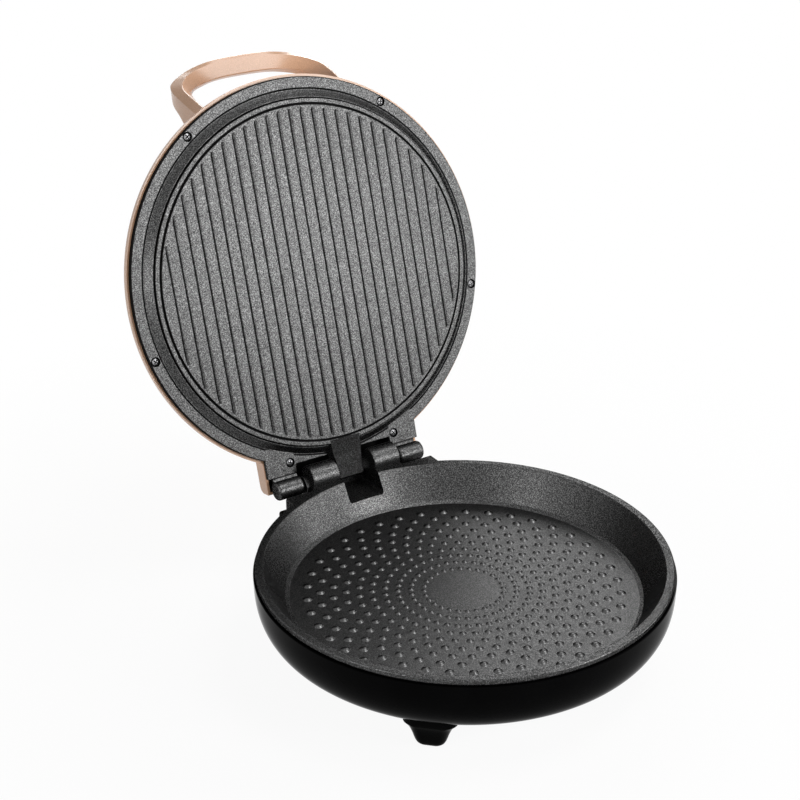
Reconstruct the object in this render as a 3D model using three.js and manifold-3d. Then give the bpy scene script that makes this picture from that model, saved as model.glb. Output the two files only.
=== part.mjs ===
// Electric baking pan: a round, bump-floored pan with a heated lid hinged at its rear.
// Millimetres, +Z up, -Y is the front (handle side when closed), +Y is the hinge side.
// Every piece is drawn with the lid closed and z = 0 at the pan's rim plane; the lid's
// group is then swung open about the hinge axis and the whole stands on its foot pads.
import * as THREE from "three";
import { mergeVertices } from "three/addons/utils/BufferGeometryUtils.js";
import Module from "manifold-3d";

const wasm = await Module();
wasm.setup();

// Driving dimensions: pan (lower tray)
const panRimRadius = 159;
const panRimWidth = 6.4;
const panDepth = 28;
const panWallRun = 19;
const panFloorRadius = panRimRadius - panRimWidth - panWallRun;
const panChamferRun = 3.2;
const panChamferRise = 1.8;
const panWall = 2.6;
const panFloorThickness = 4;
const flangeThickness = 4;
const rimOverhang = 1.6;
const neckRadius = panRimRadius - rimOverhang;
const neckDepth = 9;
const edgeRound = 0.7;
const mouthLip = 0.8;

// Bumps on the pan floor
const bumpFirstRadius = 30.5;
const bumpRingPitch = 9.95;
const bumpMargin = 12;
const bumpRings = 1 + Math.floor((panFloorRadius - bumpMargin - bumpFirstRadius) / bumpRingPitch);
const bumpInnerCounts = [28, 35];
const bumpCount = 40;
const bumpInnerSize = 2.1;
const bumpOuterSize = 3.5;
const bumpInnerHeight = 1;
const bumpOuterHeight = 1.5;
const bumpSink = 0.3;
const bumpSides = 5;
const bumpStartTurns = -0.0092;
const bumpSecondRingTurns = -0.0189;

// Lid plate (upper tray)
const lidRimRadius = panRimRadius;
const lidRimWidth = 8.7;
const lidSideHeight = 4;
const lidSlopeRun = 8.2;
const lidSlopeDrop = 5.2;
const lidSlopeShares = [
  [0.4, 0.4],
  [0.75, 0.06],
];
const lidTrenchWidth = 1.3;
const lidTrenchDrop = 3.4;
const lidRingOuter = lidRimRadius - lidRimWidth - lidSlopeRun - lidTrenchWidth;
const lidRingWidth = 3.9;
const lidRingDrop = 6.8;
const lidGrooveWidth = 0.7;
const lidGrooveDepth = 1.5;
const lidDiscRadius = lidRingOuter - lidRingWidth - lidGrooveWidth;
const lidDiscDrop = 7.3;
const lidDiscThickness = 3;
const lidWall = 2.6;

// Raised ribs on the lid plate
const ribPitch = 10.44;
const ribEndGap = 2.2;
const ribMargin = 8;
const ribEndRadius = lidDiscRadius - ribEndGap;
const ribCount = 1 + 2 * Math.floor((ribEndRadius - ribMargin) / ribPitch);
const ribWidth = 2.5;
const ribTopWidth = 1.6;
const ribHeight = 1.1;

// Hinge
const hingeReach = 11.7;
const hingeY = panRimRadius + hingeReach;
const hingeDrop = 3.85;
const lidGap = 0.9;
const lidSetback = 1.7;
const lidOpenDegrees = 106.8;
const knuckleRadius = 11.2;
const knuckleForward = 2.5;
const knuckleRise = 6.5;
const knuckleCollar = 8;
const knuckleInner = 17;
const knuckleShoulder = 41;
const knuckleOuter = 44.8;
const barrelRadius = 7.9;
const barrelForward = 1.8;
const barrelInner = 46;
const barrelOuter = 70;
const barrelEndRound = 2.4;
const hingeBlockHalf = 70;
const hingeBlockGap = 18.1;
const hingeBlockRear = hingeY - hingeBlockGap;
const hingeBlockLength = 14.6;
const hingeBlockFront = hingeBlockRear - hingeBlockLength;
const hingeBlockDepth = 19.5;
const hingeBlockChamfer = 8;
const hingeEarInner = 45.2;
const hingeEarHalf = 72;
const hingeEarGap = 13.2;
const hingeEarRear = hingeY - hingeEarGap;
const hingeEarLength = 25.5;
const hingeEarFront = hingeEarRear - hingeEarLength;
const pinRadius = 3;
const pinClearance = 0.2;
const pinInner = 24;
const pinOuter = 66;
const notchHalf = 16.4;
const notchDepth = 16;
const notchCorner = 2.5;
const notchInset = 0.5;
const notchFront = hingeBlockFront + notchInset;
const tongueHalf = 14.6;
const tongueTipHalf = 11.5;
const tongueTipReach = 1.3;
const tongueTipY = hingeY + tongueTipReach;
const tongueBendGap = 16.7;
const tongueBendY = hingeY - tongueBendGap;
const tongueTipDrop = 8.6;
const tongueTipThickness = 9;
const pocketReach = 20.7;
const pocketFront = hingeY - pocketReach;

// Base shell
const shellReach = 1.5;
const shellLipRadius = panRimRadius + shellReach;
const shellLipDrop = 5.2;
const shellDepth = 48;
const shellBowlRun = 48.5;
const shellBottomRadius = shellLipRadius - shellBowlRun;
const shellWall = 2.6;
const shellShare = 2 / 3;
const housingHalf = 68;
const housingReach = 0.8;
const housingRear = hingeY + housingReach;
const housingTop = 20.3;
const housingBottom = 46;
const housingRamp = 18;
const housingLength = 59.5;
const housingFront = housingRear - housingLength;
const housingEdge = 1;
const ventCount = 10;
const ventRadius = 52;
const ventLength = 22;
const ventWidth = 4;

// Feet
const footHeight = 18.8;
const footReach = 21;
const footRadius = shellBottomRadius + footReach;
const frontFootDegrees = 43.8;
const rearFootDegrees = 34;
const footRootHalf = 20;
const footRootDepth = 13;
const footTipHalf = 11.5;
const footTipDepth = 9;
const footCornerShare = 0.7;
const footRingShares = [
  [0, 0.62, 0],
  [0.07, 0.82, 0],
  [0.18, 0.95, 0.02],
  [0.35, 1, 0.1],
  [0.75, 1, 0.42],
  [1.1, 1, 1],
  [1.4, 1, 1],
];
const padRadius = 5;
const padHeight = 3;
const padProud = 1;

// Lid shell
const domeReach = 2.3;
const domeLipRadius = lidRimRadius + domeReach;
const domeWall = 2.2;
const domeSideHeight = 2.5;
const domeCornerRadius = 8;
const domeSlopeDegrees = 22;
const skirtHalf = 72.6;
const skirtReach = 0.3;
const skirtRear = hingeY + skirtReach;
const skirtLength = 103;
const skirtFront = skirtRear - skirtLength;
const skirtHeight = 14;
const skirtCorner = 9;

// Handle: corner points of half its loop as shares of half width, reach and lift,
// from the foot on the dome to the middle of the grip
const handleHalf = 76;
const handleOver = 21.7;
const handleReach = domeLipRadius + handleOver;
const handleLift = 78;
const handleRidgeShares = [
  [0.842, 0.781, 0.051],
  [0.855, 0.820, 0.244],
  [0.868, 0.850, 0.372],
  [0.868, 0.874, 0.487],
  [0.855, 0.896, 0.577],
  [0.803, 0.918, 0.654],
  [0.684, 0.945, 0.744],
  [0.500, 0.967, 0.801],
  [0.224, 0.984, 0.841],
];
const handleOuterShares = [
  [0.921, 0.749, 0.077],
  [0.928, 0.798, 0.321],
  [0.941, 0.836, 0.474],
  [0.952, 0.874, 0.615],
  [0.938, 0.899, 0.700],
  [0.895, 0.918, 0.763],
  [0.776, 0.946, 0.801],
  [0.559, 0.977, 0.833],
  [0.237, 0.997, 0.853],
];
const handleOuterBackShares = [
  [0.947, 0.612, 0.282],
  [0.941, 0.699, 0.474],
  [0.935, 0.765, 0.603],
  [0.921, 0.814, 0.744],
  [0.895, 0.847, 0.808],
  [0.842, 0.874, 0.872],
  [0.737, 0.913, 0.923],
  [0.539, 0.948, 0.955],
  [0.230, 0.969, 0.974],
];
const handleInnerBackShares = [
  [0.711, 0.628, 0.308],
  [0.724, 0.716, 0.474],
  [0.730, 0.776, 0.590],
  [0.724, 0.827, 0.705],
  [0.691, 0.847, 0.756],
  [0.632, 0.868, 0.800],
  [0.526, 0.882, 0.833],
  [0.368, 0.896, 0.855],
  [0.164, 0.903, 0.859],
];
const handleInnerShares = [
  [0.711, 0.680, 0.282],
  [0.724, 0.770, 0.436],
  [0.730, 0.817, 0.551],
  [0.724, 0.860, 0.660],
  [0.691, 0.876, 0.705],
  [0.632, 0.886, 0.735],
  [0.533, 0.896, 0.750],
  [0.382, 0.907, 0.757],
  [0.184, 0.913, 0.756],
];
const handleScrewSide = 10;
const handleScrewX = handleHalf - handleScrewSide;
const handleScrewInset = 37.3;
const handleScrewY = domeLipRadius - handleScrewInset;

// Heating and electrics
const heaterInset = 38.6;
const heaterRadius = panFloorRadius - heaterInset;
const heaterTube = 3.3;
const heaterGapDegrees = 44;
const heaterRidge = 2;
const heaterRidgeHeight = 4;
const heaterLead = 4;
const reflectorReach = 13;
const reflectorRadius = heaterRadius + reflectorReach;
const reflectorGauge = 0.8;
const reflectorEdge = 3;
const reflectorDrop = 8;
const studRadius = 8;
const thermostatRadius = 8;
const thermostatHeight = 6.5;
const thermostatInset = 37;
const thermostatPlace = heaterRadius - thermostatInset;
const fuseRadius = 2;
const fuseLength = 22;
const fusePlace = -thermostatPlace;
const inletWidth = 24;
const inletHeight = 16.8;
const inletWall = 1.8;
const inletDepth = 16;
const inletDrop = 34;
const inletPinRadius = 2;
const inletPinLength = 14;
const inletPinPitch = 6.2;
const inletPinRise = 2;

// Fasteners
const screwHeadRadius = 3;
const screwHeadHeight = 1.8;
const screwCrownShare = 0.75;
const screwShankRadius = 1.6;
const screwHole = 1.9;
const screwSeatRadius = 4;
const screwSeatDepth = 2.1;
const lidScrewLength = 8;
const lidScrewInset = 4.6;
const lidScrewRadius = lidRimRadius - lidScrewInset;
const lidScrewDegrees = [34.9, 105];
const earScrewX = 50;
const earScrewGap = 22.6;
const earScrewY = hingeY - earScrewGap;
const bossRadius = 4.4;
const handleScrewLength = 11;
const baseScrewLength = 14;
const baseBossRadius = 6;
const baseBossHeight = 8.5;
const baseBossStep = 1;
const baseBossInset = 18.6;
const baseBossPlace = panFloorRadius - baseBossInset;
const baseBossDegrees = [20, 160, 200, 340];

// Controls on the lid
const panelLength = 76;
const panelWidth = 36;
const panelThickness = 2.4;
const panelInset = 69.3;
const panelPlace = domeLipRadius - panelInset;
const panelCornerShare = 17 / 18;
const panelRise = 1.2;
const panelLedge = 3;
const panelLedgeWidth = 4;
const panelPadDepth = 6.4;
const buttonRadius = 9;
const buttonFlange = 1;
const buttonSpacing = 38;
const buttonProud = 2.6;
const buttonTravel = 1.6;
const lensRadius = 1.8;
const lensPlace = 12.4;
const lensLength = 3.4;
const switchMargin = 18;
const switchWidth = buttonSpacing + switchMargin;
const switchDepth = 18;
const switchHeight = 7.4;
const switchBoardWidth = switchWidth + switchMargin;
const switchBoardDepth = 24;
const switchBoardThickness = 1.6;
const plungerRadius = 3;

// Fits and model quality
const fit = 0.3;
const overrun = 1;
const weld = 0.0005;
const outerSides = 48;
const innerSides = 28;
const roundSides = 20;
const smallSides = 12;

const turn = 2 * Math.PI;
const radians = (degrees) => THREE.MathUtils.degToRad(degrees);

// Materials as photographed
const finish = (color, roughness, metalness) =>
  new THREE.MeshStandardMaterial({ color, roughness, metalness });
const nonStick = finish(0x46474a, 0.45, 0.2);
const glossBlack = finish(0x0c0c0d, 0.12, 0);
const roseGold = finish(0xd3a283, 0.34, 0.6);
const steel = finish(0xb9bbbe, 0.3, 1);
const aluminised = finish(0xa9abad, 0.42, 1);
const heaterSheath = finish(0x5c5f55, 0.5, 0.8);
const blackPlastic = finish(0x191a1c, 0.5, 0);
const rubber = finish(0x161616, 0.85, 0);
const brass = finish(0xc0a060, 0.35, 1);
const ceramic = finish(0xe6e2d8, 0.6, 0);
const amberLens = finish(0xd86a2a, 0.15, 0);

// Solids from closed three.js geometries, and back
function toSolid(geometry) {
  const bare = geometry.clone();
  bare.deleteAttribute("normal");
  bare.deleteAttribute("uv");
  const merged = mergeVertices(bare, weld);
  const position = merged.getAttribute("position");
  const index = merged.getIndex().array;
  const triangles = [];
  let volume = 0;
  const [a, b, c] = [new THREE.Vector3(), new THREE.Vector3(), new THREE.Vector3()];
  for (let i = 0; i < index.length; i += 3) {
    const [p, q, r] = [index[i], index[i + 1], index[i + 2]];
    if (p === q || q === r || r === p) continue;
    triangles.push(p, q, r);
    a.fromBufferAttribute(position, p);
    b.fromBufferAttribute(position, q);
    c.fromBufferAttribute(position, r);
    volume += a.dot(b.cross(c));
  }
  if (volume < 0) triangles.reverse();
  return new wasm.Manifold(new wasm.Mesh({
    numProp: 3,
    vertProperties: new Float32Array(position.array),
    triVerts: new Uint32Array(triangles),
  }));
}

function toGeometry(solid) {
  const mesh = solid.getMesh();
  const geometry = new THREE.BufferGeometry();
  geometry.setAttribute("position", new THREE.BufferAttribute(mesh.vertProperties, 3));
  geometry.setIndex(new THREE.BufferAttribute(mesh.triVerts, 1));
  const flat = geometry.toNonIndexed();
  flat.computeVertexNormals();
  return flat;
}

const join = (solids) => wasm.Manifold.union(solids);

// A profile of [radius, z] points turned about Z
function revolve(profile, sides) {
  const points = [...profile, profile[0]].map(([r, z]) => new THREE.Vector2(r, z));
  return toSolid(new THREE.LatheGeometry(points, sides).rotateX(turn / 4));
}

function outlineShape(points) {
  return new THREE.Shape(points.map(([u, v]) => new THREE.Vector2(u, v)));
}

// A plan outline (x, y) raised from z0 to z1
function raise(shape, z0, z1, curveSegments = 4) {
  const geometry = new THREE.ExtrudeGeometry(shape, { depth: z1 - z0, bevelEnabled: false, curveSegments });
  return toSolid(geometry.translate(0, 0, z0));
}

// A side outline (y, z) carried along x from x0 to x1
function carry(points, x0, x1) {
  const options = { depth: x1 - x0, bevelEnabled: false };
  const geometry = new THREE.ExtrudeGeometry(outlineShape(points), options);
  const axes = new THREE.Matrix4().makeBasis(
    new THREE.Vector3(0, 1, 0), new THREE.Vector3(0, 0, 1), new THREE.Vector3(1, 0, 0));
  return toSolid(geometry.applyMatrix4(axes).translate(x0, 0, 0));
}

function block(x0, x1, y0, y1, z0, z1) {
  const geometry = new THREE.BoxGeometry(x1 - x0, y1 - y0, z1 - z0);
  return toSolid(geometry.translate((x0 + x1) / 2, (y0 + y1) / 2, (z0 + z1) / 2));
}

function upright(radius, x, y, z0, z1, sides = smallSides) {
  const geometry = new THREE.CylinderGeometry(radius, radius, z1 - z0, sides).rotateX(turn / 4);
  return toSolid(geometry.translate(x, y, (z0 + z1) / 2));
}

function barrelAlongX(radius, x0, x1, y, z, sides, endRound = 0) {
  const profile = endRound > 0
    ? [[0, x0], [radius - endRound, x0], [radius, x0 + endRound],
      [radius, x1 - endRound], [radius - endRound, x1], [0, x1]]
    : [[0, x0], [radius, x0], [radius, x1], [0, x1]];
  const points = [...profile, profile[0]].map(([r, u]) => new THREE.Vector2(r, u));
  const geometry = new THREE.LatheGeometry(points, sides).rotateZ(-turn / 4);
  return toSolid(geometry.translate(0, y, z));
}

function roundedPlan(halfX, halfY, corner, x = 0, y = 0) {
  const shape = new THREE.Shape();
  const [right, top] = [halfX - corner, halfY - corner];
  shape.absarc(x + right, y + top, corner, 0, turn / 4);
  shape.absarc(x - right, y + top, corner, turn / 4, turn / 2);
  shape.absarc(x - right, y - top, corner, turn / 2, 3 * turn / 4);
  shape.absarc(x + right, y - top, corner, 3 * turn / 4, turn);
  return shape;
}

// Rings of equal point counts joined into one closed skin
function loft(rings) {
  const count = rings[0].length;
  const position = rings.flat(2);
  const index = [];
  for (let level = 0; level + 1 < rings.length; level += 1) {
    for (let i = 0; i < count; i += 1) {
      const [a, b] = [level * count + i, level * count + (i + 1) % count];
      index.push(a, b, b + count, a, b + count, a + count);
    }
  }
  const last = (rings.length - 1) * count;
  for (let i = 1; i + 1 < count; i += 1) {
    index.push(0, i + 1, i);
    index.push(last, last + i, last + i + 1);
  }
  const geometry = new THREE.BufferGeometry();
  geometry.setAttribute("position", new THREE.Float32BufferAttribute(position, 3));
  geometry.setIndex(index);
  return toSolid(geometry);
}

const mirrored = (solid) => [solid, solid.mirror([1, 0, 0])];
const shapeMatrix = (matrix) => (solid) => solid.transform(matrix.toArray());

const hingeZ = -hingeDrop;
const panMouthRadius = panRimRadius - panRimWidth;
const panFloorZ = -panDepth;
const panUnderZ = panFloorZ - panFloorThickness;

const panWallLean = (panMouthRadius - mouthLip - panFloorRadius - panChamferRun)
  / (panDepth - panChamferRise - mouthLip);

// Inner wall radius of the pan at height z
function panInnerRadius(z) {
  const foot = [panFloorRadius + panChamferRun, panFloorZ + panChamferRise];
  const top = [panMouthRadius - mouthLip, -mouthLip];
  return foot[0] + (z - foot[1]) * (top[0] - foot[0]) / (top[1] - foot[1]);
}

function panCavity() {
  return revolve([
    [0, panFloorZ],
    [panFloorRadius, panFloorZ],
    [panFloorRadius + panChamferRun, panFloorZ + panChamferRise],
    [panMouthRadius - mouthLip, -mouthLip],
    [panMouthRadius, 0],
    [panMouthRadius, overrun],
    [0, overrun],
  ], outerSides);
}

// Two ridges between which a heater tube lies
function heaterRidges(baseZ, tipZ) {
  const inner = heaterRadius - heaterTube - fit;
  const outer = heaterRadius + heaterTube + fit;
  return [[inner - heaterRidge, inner], [outer, outer + heaterRidge]].map(([r0, r1]) =>
    revolve([[r0, baseZ], [r1, baseZ], [r1, tipZ], [r0, tipZ]], innerSides));
}

// Rings of low domes, 28 and 35 in the first two rings and 40 in each of the rest
function floorBumps() {
  const bumps = [];
  for (let ring = 0; ring < bumpRings; ring += 1) {
    const share = ring / (bumpRings - 1);
    const radius = bumpFirstRadius + ring * bumpRingPitch;
    const count = ring < bumpInnerCounts.length ? bumpInnerCounts[ring] : bumpCount;
    const size = THREE.MathUtils.lerp(bumpInnerSize, bumpOuterSize, share);
    const height = THREE.MathUtils.lerp(bumpInnerHeight, bumpOuterHeight, share);
    const start = ring === 1 ? bumpSecondRingTurns : bumpStartTurns + (ring % 2) / (2 * count);
    for (let i = 0; i < count; i += 1) {
      const angle = turn * (start + i / count);
      const full = height + bumpSink;
      const cone = new THREE.ConeGeometry(size * full / height, full, bumpSides, 1);
      cone.rotateX(turn / 4).rotateZ(angle);
      cone.translate(radius * Math.cos(angle), radius * Math.sin(angle), panFloorZ - bumpSink + full / 2);
      bumps.push(toSolid(cone));
    }
  }
  return join(bumps);
}

function pinBores() {
  return mirrored(barrelAlongX(pinRadius + pinClearance, pinInner - fit, barrelOuter + overrun,
    hingeY, hingeZ, smallSides));
}

function basePlaces() {
  return baseBossDegrees.map((degrees) => [
    baseBossPlace * Math.cos(radians(degrees)), baseBossPlace * Math.sin(radians(degrees))]);
}

const studDrop = reflectorDrop - fit;
const bossMeetZ = panUnderZ - baseBossHeight;

function lowerTray() {
  const outer = (z) => panInnerRadius(z) + panWall * Math.hypot(1, panWallLean);
  const body = revolve([
    [0, panUnderZ],
    [panFloorRadius + panWall / 2, panUnderZ],
    [outer(panUnderZ + panWall), panUnderZ + panWall],
    [outer(-neckDepth), -neckDepth],
    [neckRadius, -neckDepth],
    [neckRadius, -flangeThickness],
    [panRimRadius, -flangeThickness],
    [panRimRadius, -edgeRound],
    [panRimRadius - edgeRound, 0],
    [0, 0],
  ], outerSides);
  const hingeBlock = carry([
    [hingeBlockFront, 0], [hingeBlockRear, 0], [hingeBlockRear, hingeBlockChamfer - hingeBlockDepth],
    [hingeBlockRear - hingeBlockChamfer, -hingeBlockDepth], [hingeBlockFront, -hingeBlockDepth],
  ], -hingeBlockHalf, hingeBlockHalf);
  const channel = block(-knuckleInner - fit, knuckleInner + fit,
    hingeBlockFront, hingeY - hingeDrop, -hingeBlockDepth, 0);
  const knuckleY = hingeY - knuckleForward;
  const knuckleZ = hingeZ + knuckleRise;
  const web = carry([
    [hingeBlockFront, 0], [knuckleY - knuckleRadius + edgeRound, 0], [knuckleY, knuckleZ],
    [hingeY, hingeZ], [hingeY - hingeDrop, hingeZ - knuckleCollar + edgeRound],
    [hingeBlockRear, -hingeBlockDepth], [hingeBlockFront, -hingeBlockDepth],
  ], knuckleInner, knuckleShoulder);
  const knuckle = join([
    barrelAlongX(knuckleRadius, knuckleInner, knuckleShoulder, knuckleY, knuckleZ, roundSides),
    barrelAlongX(knuckleCollar, knuckleInner, knuckleOuter, hingeY, hingeZ, roundSides)]);
  const bosses = basePlaces().map(([x, y]) =>
    upright(baseBossRadius - baseBossStep, x, y, bossMeetZ + fit, panUnderZ + fit));
  const pilots = basePlaces().map(([x, y]) => upright(screwHole, x, y, bossMeetZ, panUnderZ - overrun));
  const stud = upright(studRadius, 0, 0, panUnderZ - studDrop, panUnderZ + fit);
  const studPilot = upright(screwHole, 0, 0, panUnderZ - studDrop - overrun, panUnderZ - overrun);
  const solid = join([body, hingeBlock, channel, ...mirrored(web), ...mirrored(knuckle), ...bosses, stud,
    ...heaterRidges(panUnderZ + fit, panUnderZ - heaterRidgeHeight)]);
  const cuts = join([panCavity(), notchCut(), ...pinBores(), ...pilots, studPilot]);
  return solid.subtract(cuts).add(floorBumps());
}

// The U-shaped notch that the lid's wire tongue drops into, round-cornered at its floor
function notchCut() {
  const corner = notchCorner;
  const shape = new THREE.Shape();
  shape.moveTo(notchHalf, overrun);
  shape.lineTo(-notchHalf, overrun);
  shape.absarc(-notchHalf + corner, -notchDepth + corner, corner, turn / 2, 3 * turn / 4);
  shape.absarc(notchHalf - corner, -notchDepth + corner, corner, 3 * turn / 4, turn);
  const length = hingeY + knuckleRadius + overrun - notchFront;
  const geometry = new THREE.ExtrudeGeometry(shape, { depth: length, bevelEnabled: false, curveSegments: 2 });
  geometry.rotateX(turn / 4).translate(0, notchFront + length, 0);
  return toSolid(geometry);
}

// Superelliptic bowl profile from the lip to the flat bottom
function bowlProfile(inset) {
  const steps = inset > 0 ? 4 : 7;
  const points = [];
  for (let i = 0; i <= steps; i += 1) {
    const angle = (turn / 4) * (i / steps);
    const reach = shellLipRadius - shellBottomRadius;
    points.push([
      shellBottomRadius - inset / 2 + (reach - inset / 2) * Math.cos(angle) ** shellShare,
      -shellLipDrop - (shellDepth - inset) * Math.sin(angle) ** shellShare]);
  }
  return points;
}

function footRing(halfAcross, halfDeep, z) {
  const corner = Math.min(halfAcross, halfDeep) * footCornerShare;
  const points = roundedPlan(halfAcross, halfDeep, corner).extractPoints(1).shape;
  return points.slice(0, points.length - 1).map((point) => [point.x, point.y, z]);
}

const shellBottomZ = -shellLipDrop - shellDepth;
const footBottomZ = shellBottomZ - footHeight;
const rimHeight = -(footBottomZ - padProud);

function footPlaces() {
  return [
    ["front_left", 180 + frontFootDegrees],
    ["front_right", 180 - frontFootDegrees],
    ["rear_left", -rearFootDegrees],
    ["rear_right", rearFootDegrees],
  ].map(([name, degrees]) => ({
    name,
    degrees: -degrees,
    x: footRadius * Math.sin(radians(degrees)),
    y: footRadius * Math.cos(radians(degrees)),
  }));
}

// Each ring: height share, size share, and how far it has flared from tip to root
function foot(place) {
  const rings = footRingShares.map(([heightShare, sizeShare, flareShare]) => footRing(
    sizeShare * THREE.MathUtils.lerp(footTipHalf, footRootHalf, flareShare),
    sizeShare * THREE.MathUtils.lerp(footTipDepth, footRootDepth, flareShare),
    footBottomZ + heightShare * footHeight));
  return loft(rings).rotate([0, 0, place.degrees]).translate([place.x, place.y, 0]);
}

function padSeat(place, radius, z0, z1) {
  return upright(radius, place.x, place.y, z0, z1);
}

// Rear hinge housing of the base shell, drawn from the side
function housingSide(inset) {
  const bottom = shellBottomZ + shellWall + inset;
  return [
    [housingFront, -housingTop - inset],
    [housingRear - housingEdge - inset, -housingTop - inset],
    [housingRear - inset, -housingTop - housingEdge - inset],
    [housingRear - inset, -housingBottom + inset],
    [housingRear - housingRamp, bottom],
    [housingFront, bottom],
  ];
}

function ventSlots() {
  const slots = [];
  for (let i = 0; i < ventCount; i += 1) {
    const slot = raise(roundedPlan(ventLength / 2, ventWidth / 2, ventWidth / 2),
      shellBottomZ - overrun, shellBottomZ + shellWall + overrun, 1);
    slots.push(slot.translate([ventRadius, 0, 0]).rotate([0, 0, 360 * i / ventCount]));
  }
  return slots;
}

function baseShell() {
  const outer = bowlProfile(0);
  const inner = bowlProfile(shellWall);
  const floorZ = shellBottomZ + shellWall;
  const bowl = revolve([[0, -shellLipDrop], ...outer, [0, shellBottomZ]], outerSides);
  const hollow = revolve([[0, overrun], [inner[0][0], overrun], ...inner, [0, floorZ]], outerSides);
  const housing = carry(housingSide(0), -housingHalf, housingHalf);
  const housingHollow = carry(housingSide(shellWall), -housingHalf + shellWall, housingHalf - shellWall);
  const places = footPlaces();
  const feet = join(places.map(foot)).subtract(hollow);
  const bosses = basePlaces().map(([x, y]) => upright(baseBossRadius, x, y, floorZ - fit, bossMeetZ - fit));
  const holes = basePlaces().flatMap(([x, y]) => [
    upright(screwHole, x, y, shellBottomZ - overrun, overrun),
    upright(screwSeatRadius, x, y, shellBottomZ - overrun, shellBottomZ + screwSeatDepth)]);
  const pads = places.map((place) =>
    padSeat(place, padRadius + fit, footBottomZ - overrun, footBottomZ + padHeight - padProud + fit));
  const blockRoom = block(-hingeBlockHalf - fit, hingeBlockHalf + fit,
    hingeBlockFront - panRimWidth, hingeY + knuckleRadius, -hingeBlockDepth - fit, overrun);
  const inletCut = raise(roundedPlan(inletWidth / 2 + fit, inletHeight / 2 + fit, inletWall),
    -inletDepth, inletDepth, 1).rotate([90, 0, 0]).translate([0, housingRear, -inletDrop]);
  const shell = join([bowl, housing]).subtract(join([hollow, housingHollow]));
  return join([shell, feet, ...bosses])
    .subtract(join([blockRoom, inletCut, ...holes, ...pads, ...ventSlots()]));
}

function footPad(place) {
  return padSeat(place, padRadius, footBottomZ - padProud, footBottomZ + padHeight - padProud);
}

// A heater tube's arc, open at the rear where its leads leave
class HeaterPath extends THREE.Curve {
  constructor(z) {
    super();
    this.z = z;
  }

  getPoint(t, target = new THREE.Vector3()) {
    const gap = radians(heaterGapDegrees);
    const angle = turn / 4 + gap / 2 + t * (turn - gap);
    return target.set(heaterRadius * Math.cos(angle), heaterRadius * Math.sin(angle), this.z);
  }
}

function heater(z, lead) {
  const section = new THREE.Shape();
  section.absarc(0, 0, heaterTube, 0, turn);
  const tube = new THREE.ExtrudeGeometry(section, {
    steps: innerSides, curveSegments: smallSides / 4, bevelEnabled: false, extrudePath: new HeaterPath(z) });
  const gap = radians(heaterGapDegrees);
  const ends = [-1, 1].map((side) => {
    const angle = turn / 4 + side * (gap / 2 + heaterTube / heaterRadius);
    const [x, y] = [heaterRadius * Math.cos(angle), heaterRadius * Math.sin(angle)];
    return upright(heaterTube / 2, x, y, Math.min(z, z + lead), Math.max(z, z + lead), smallSides / 2);
  });
  return join([toSolid(tube), ...ends]);
}

function reflector(faceZ, edge) {
  const gauge = Math.sign(edge) * reflectorGauge;
  return revolve([
    [screwHole, faceZ], [reflectorRadius - reflectorEdge, faceZ],
    [reflectorRadius, faceZ + edge], [reflectorRadius + reflectorGauge, faceZ + edge],
    [reflectorRadius - reflectorEdge + reflectorGauge, faceZ - gauge],
    [screwHole, faceZ - gauge],
  ], innerSides);
}

// Pan-head screw pointing up (+1) or down (-1), its head's seat at z
function screw(x, y, seatZ, way, length, headRadius = screwHeadRadius) {
  const head = [
    [0, -screwHeadHeight], [headRadius * screwCrownShare, -screwHeadHeight],
    [headRadius, -screwHeadHeight / 2], [headRadius, 0],
    [screwShankRadius, 0], [screwShankRadius, length], [0, length],
  ];
  const solid = revolve(head, smallSides);
  const turned = way > 0 ? solid : solid.rotate([180, 0, 0]);
  return turned.translate([x, y, seatZ]);
}

function inletHousing() {
  const plan = (grow) => roundedPlan(inletWidth / 2 + grow, inletHeight / 2 + grow, inletWall);
  const body = raise(plan(0), -inletDepth - inletWall, inletWall / 4, 1);
  const flange = raise(plan(inletWall), 0, inletWall / 2, 1);
  const hollow = raise(plan(-inletWall), -inletDepth, inletWall, 1);
  const pins = inletPins().map(([x, y]) =>
    upright(inletPinRadius + fit, x, y, -inletDepth - inletWall - overrun, 0));
  return join([body, flange]).subtract(join([hollow, ...pins]));
}

function inletPins() {
  return [[-inletPinPitch, -inletPinRise], [inletPinPitch, -inletPinRise], [0, inletPinRise]];
}

// Lid plate profile, z measured from the lid's rim plane, cooking side down
function lidPlateProfile() {
  const ringInner = lidDiscRadius + lidGrooveWidth;
  const trenchOuter = lidRingOuter + lidTrenchWidth;
  const rimInner = lidRimRadius - lidRimWidth;
  return [
    [0, -lidDiscDrop],
    [lidDiscRadius, -lidDiscDrop],
    [lidDiscRadius, -lidDiscDrop + lidGrooveDepth],
    [ringInner, -lidDiscDrop + lidGrooveDepth],
    [ringInner, -lidRingDrop],
    [lidRingOuter, -lidRingDrop],
    [lidRingOuter, -lidTrenchDrop],
    [trenchOuter, -lidTrenchDrop],
    [trenchOuter, -lidSlopeDrop],
    ...lidSlopeShares.map(([run, drop]) => [trenchOuter + run * lidSlopeRun, -drop * lidSlopeDrop]),
    [rimInner, 0],
    [lidRimRadius - edgeRound, 0],
    [lidRimRadius, edgeRound],
    [lidRimRadius, lidSideHeight],
    [rimInner - lidWall / 2, lidSideHeight],
    [trenchOuter, lidSideHeight - lidSlopeDrop],
    [lidDiscRadius, -lidDiscDrop + lidDiscThickness],
    [0, -lidDiscDrop + lidDiscThickness],
  ];
}

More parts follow.
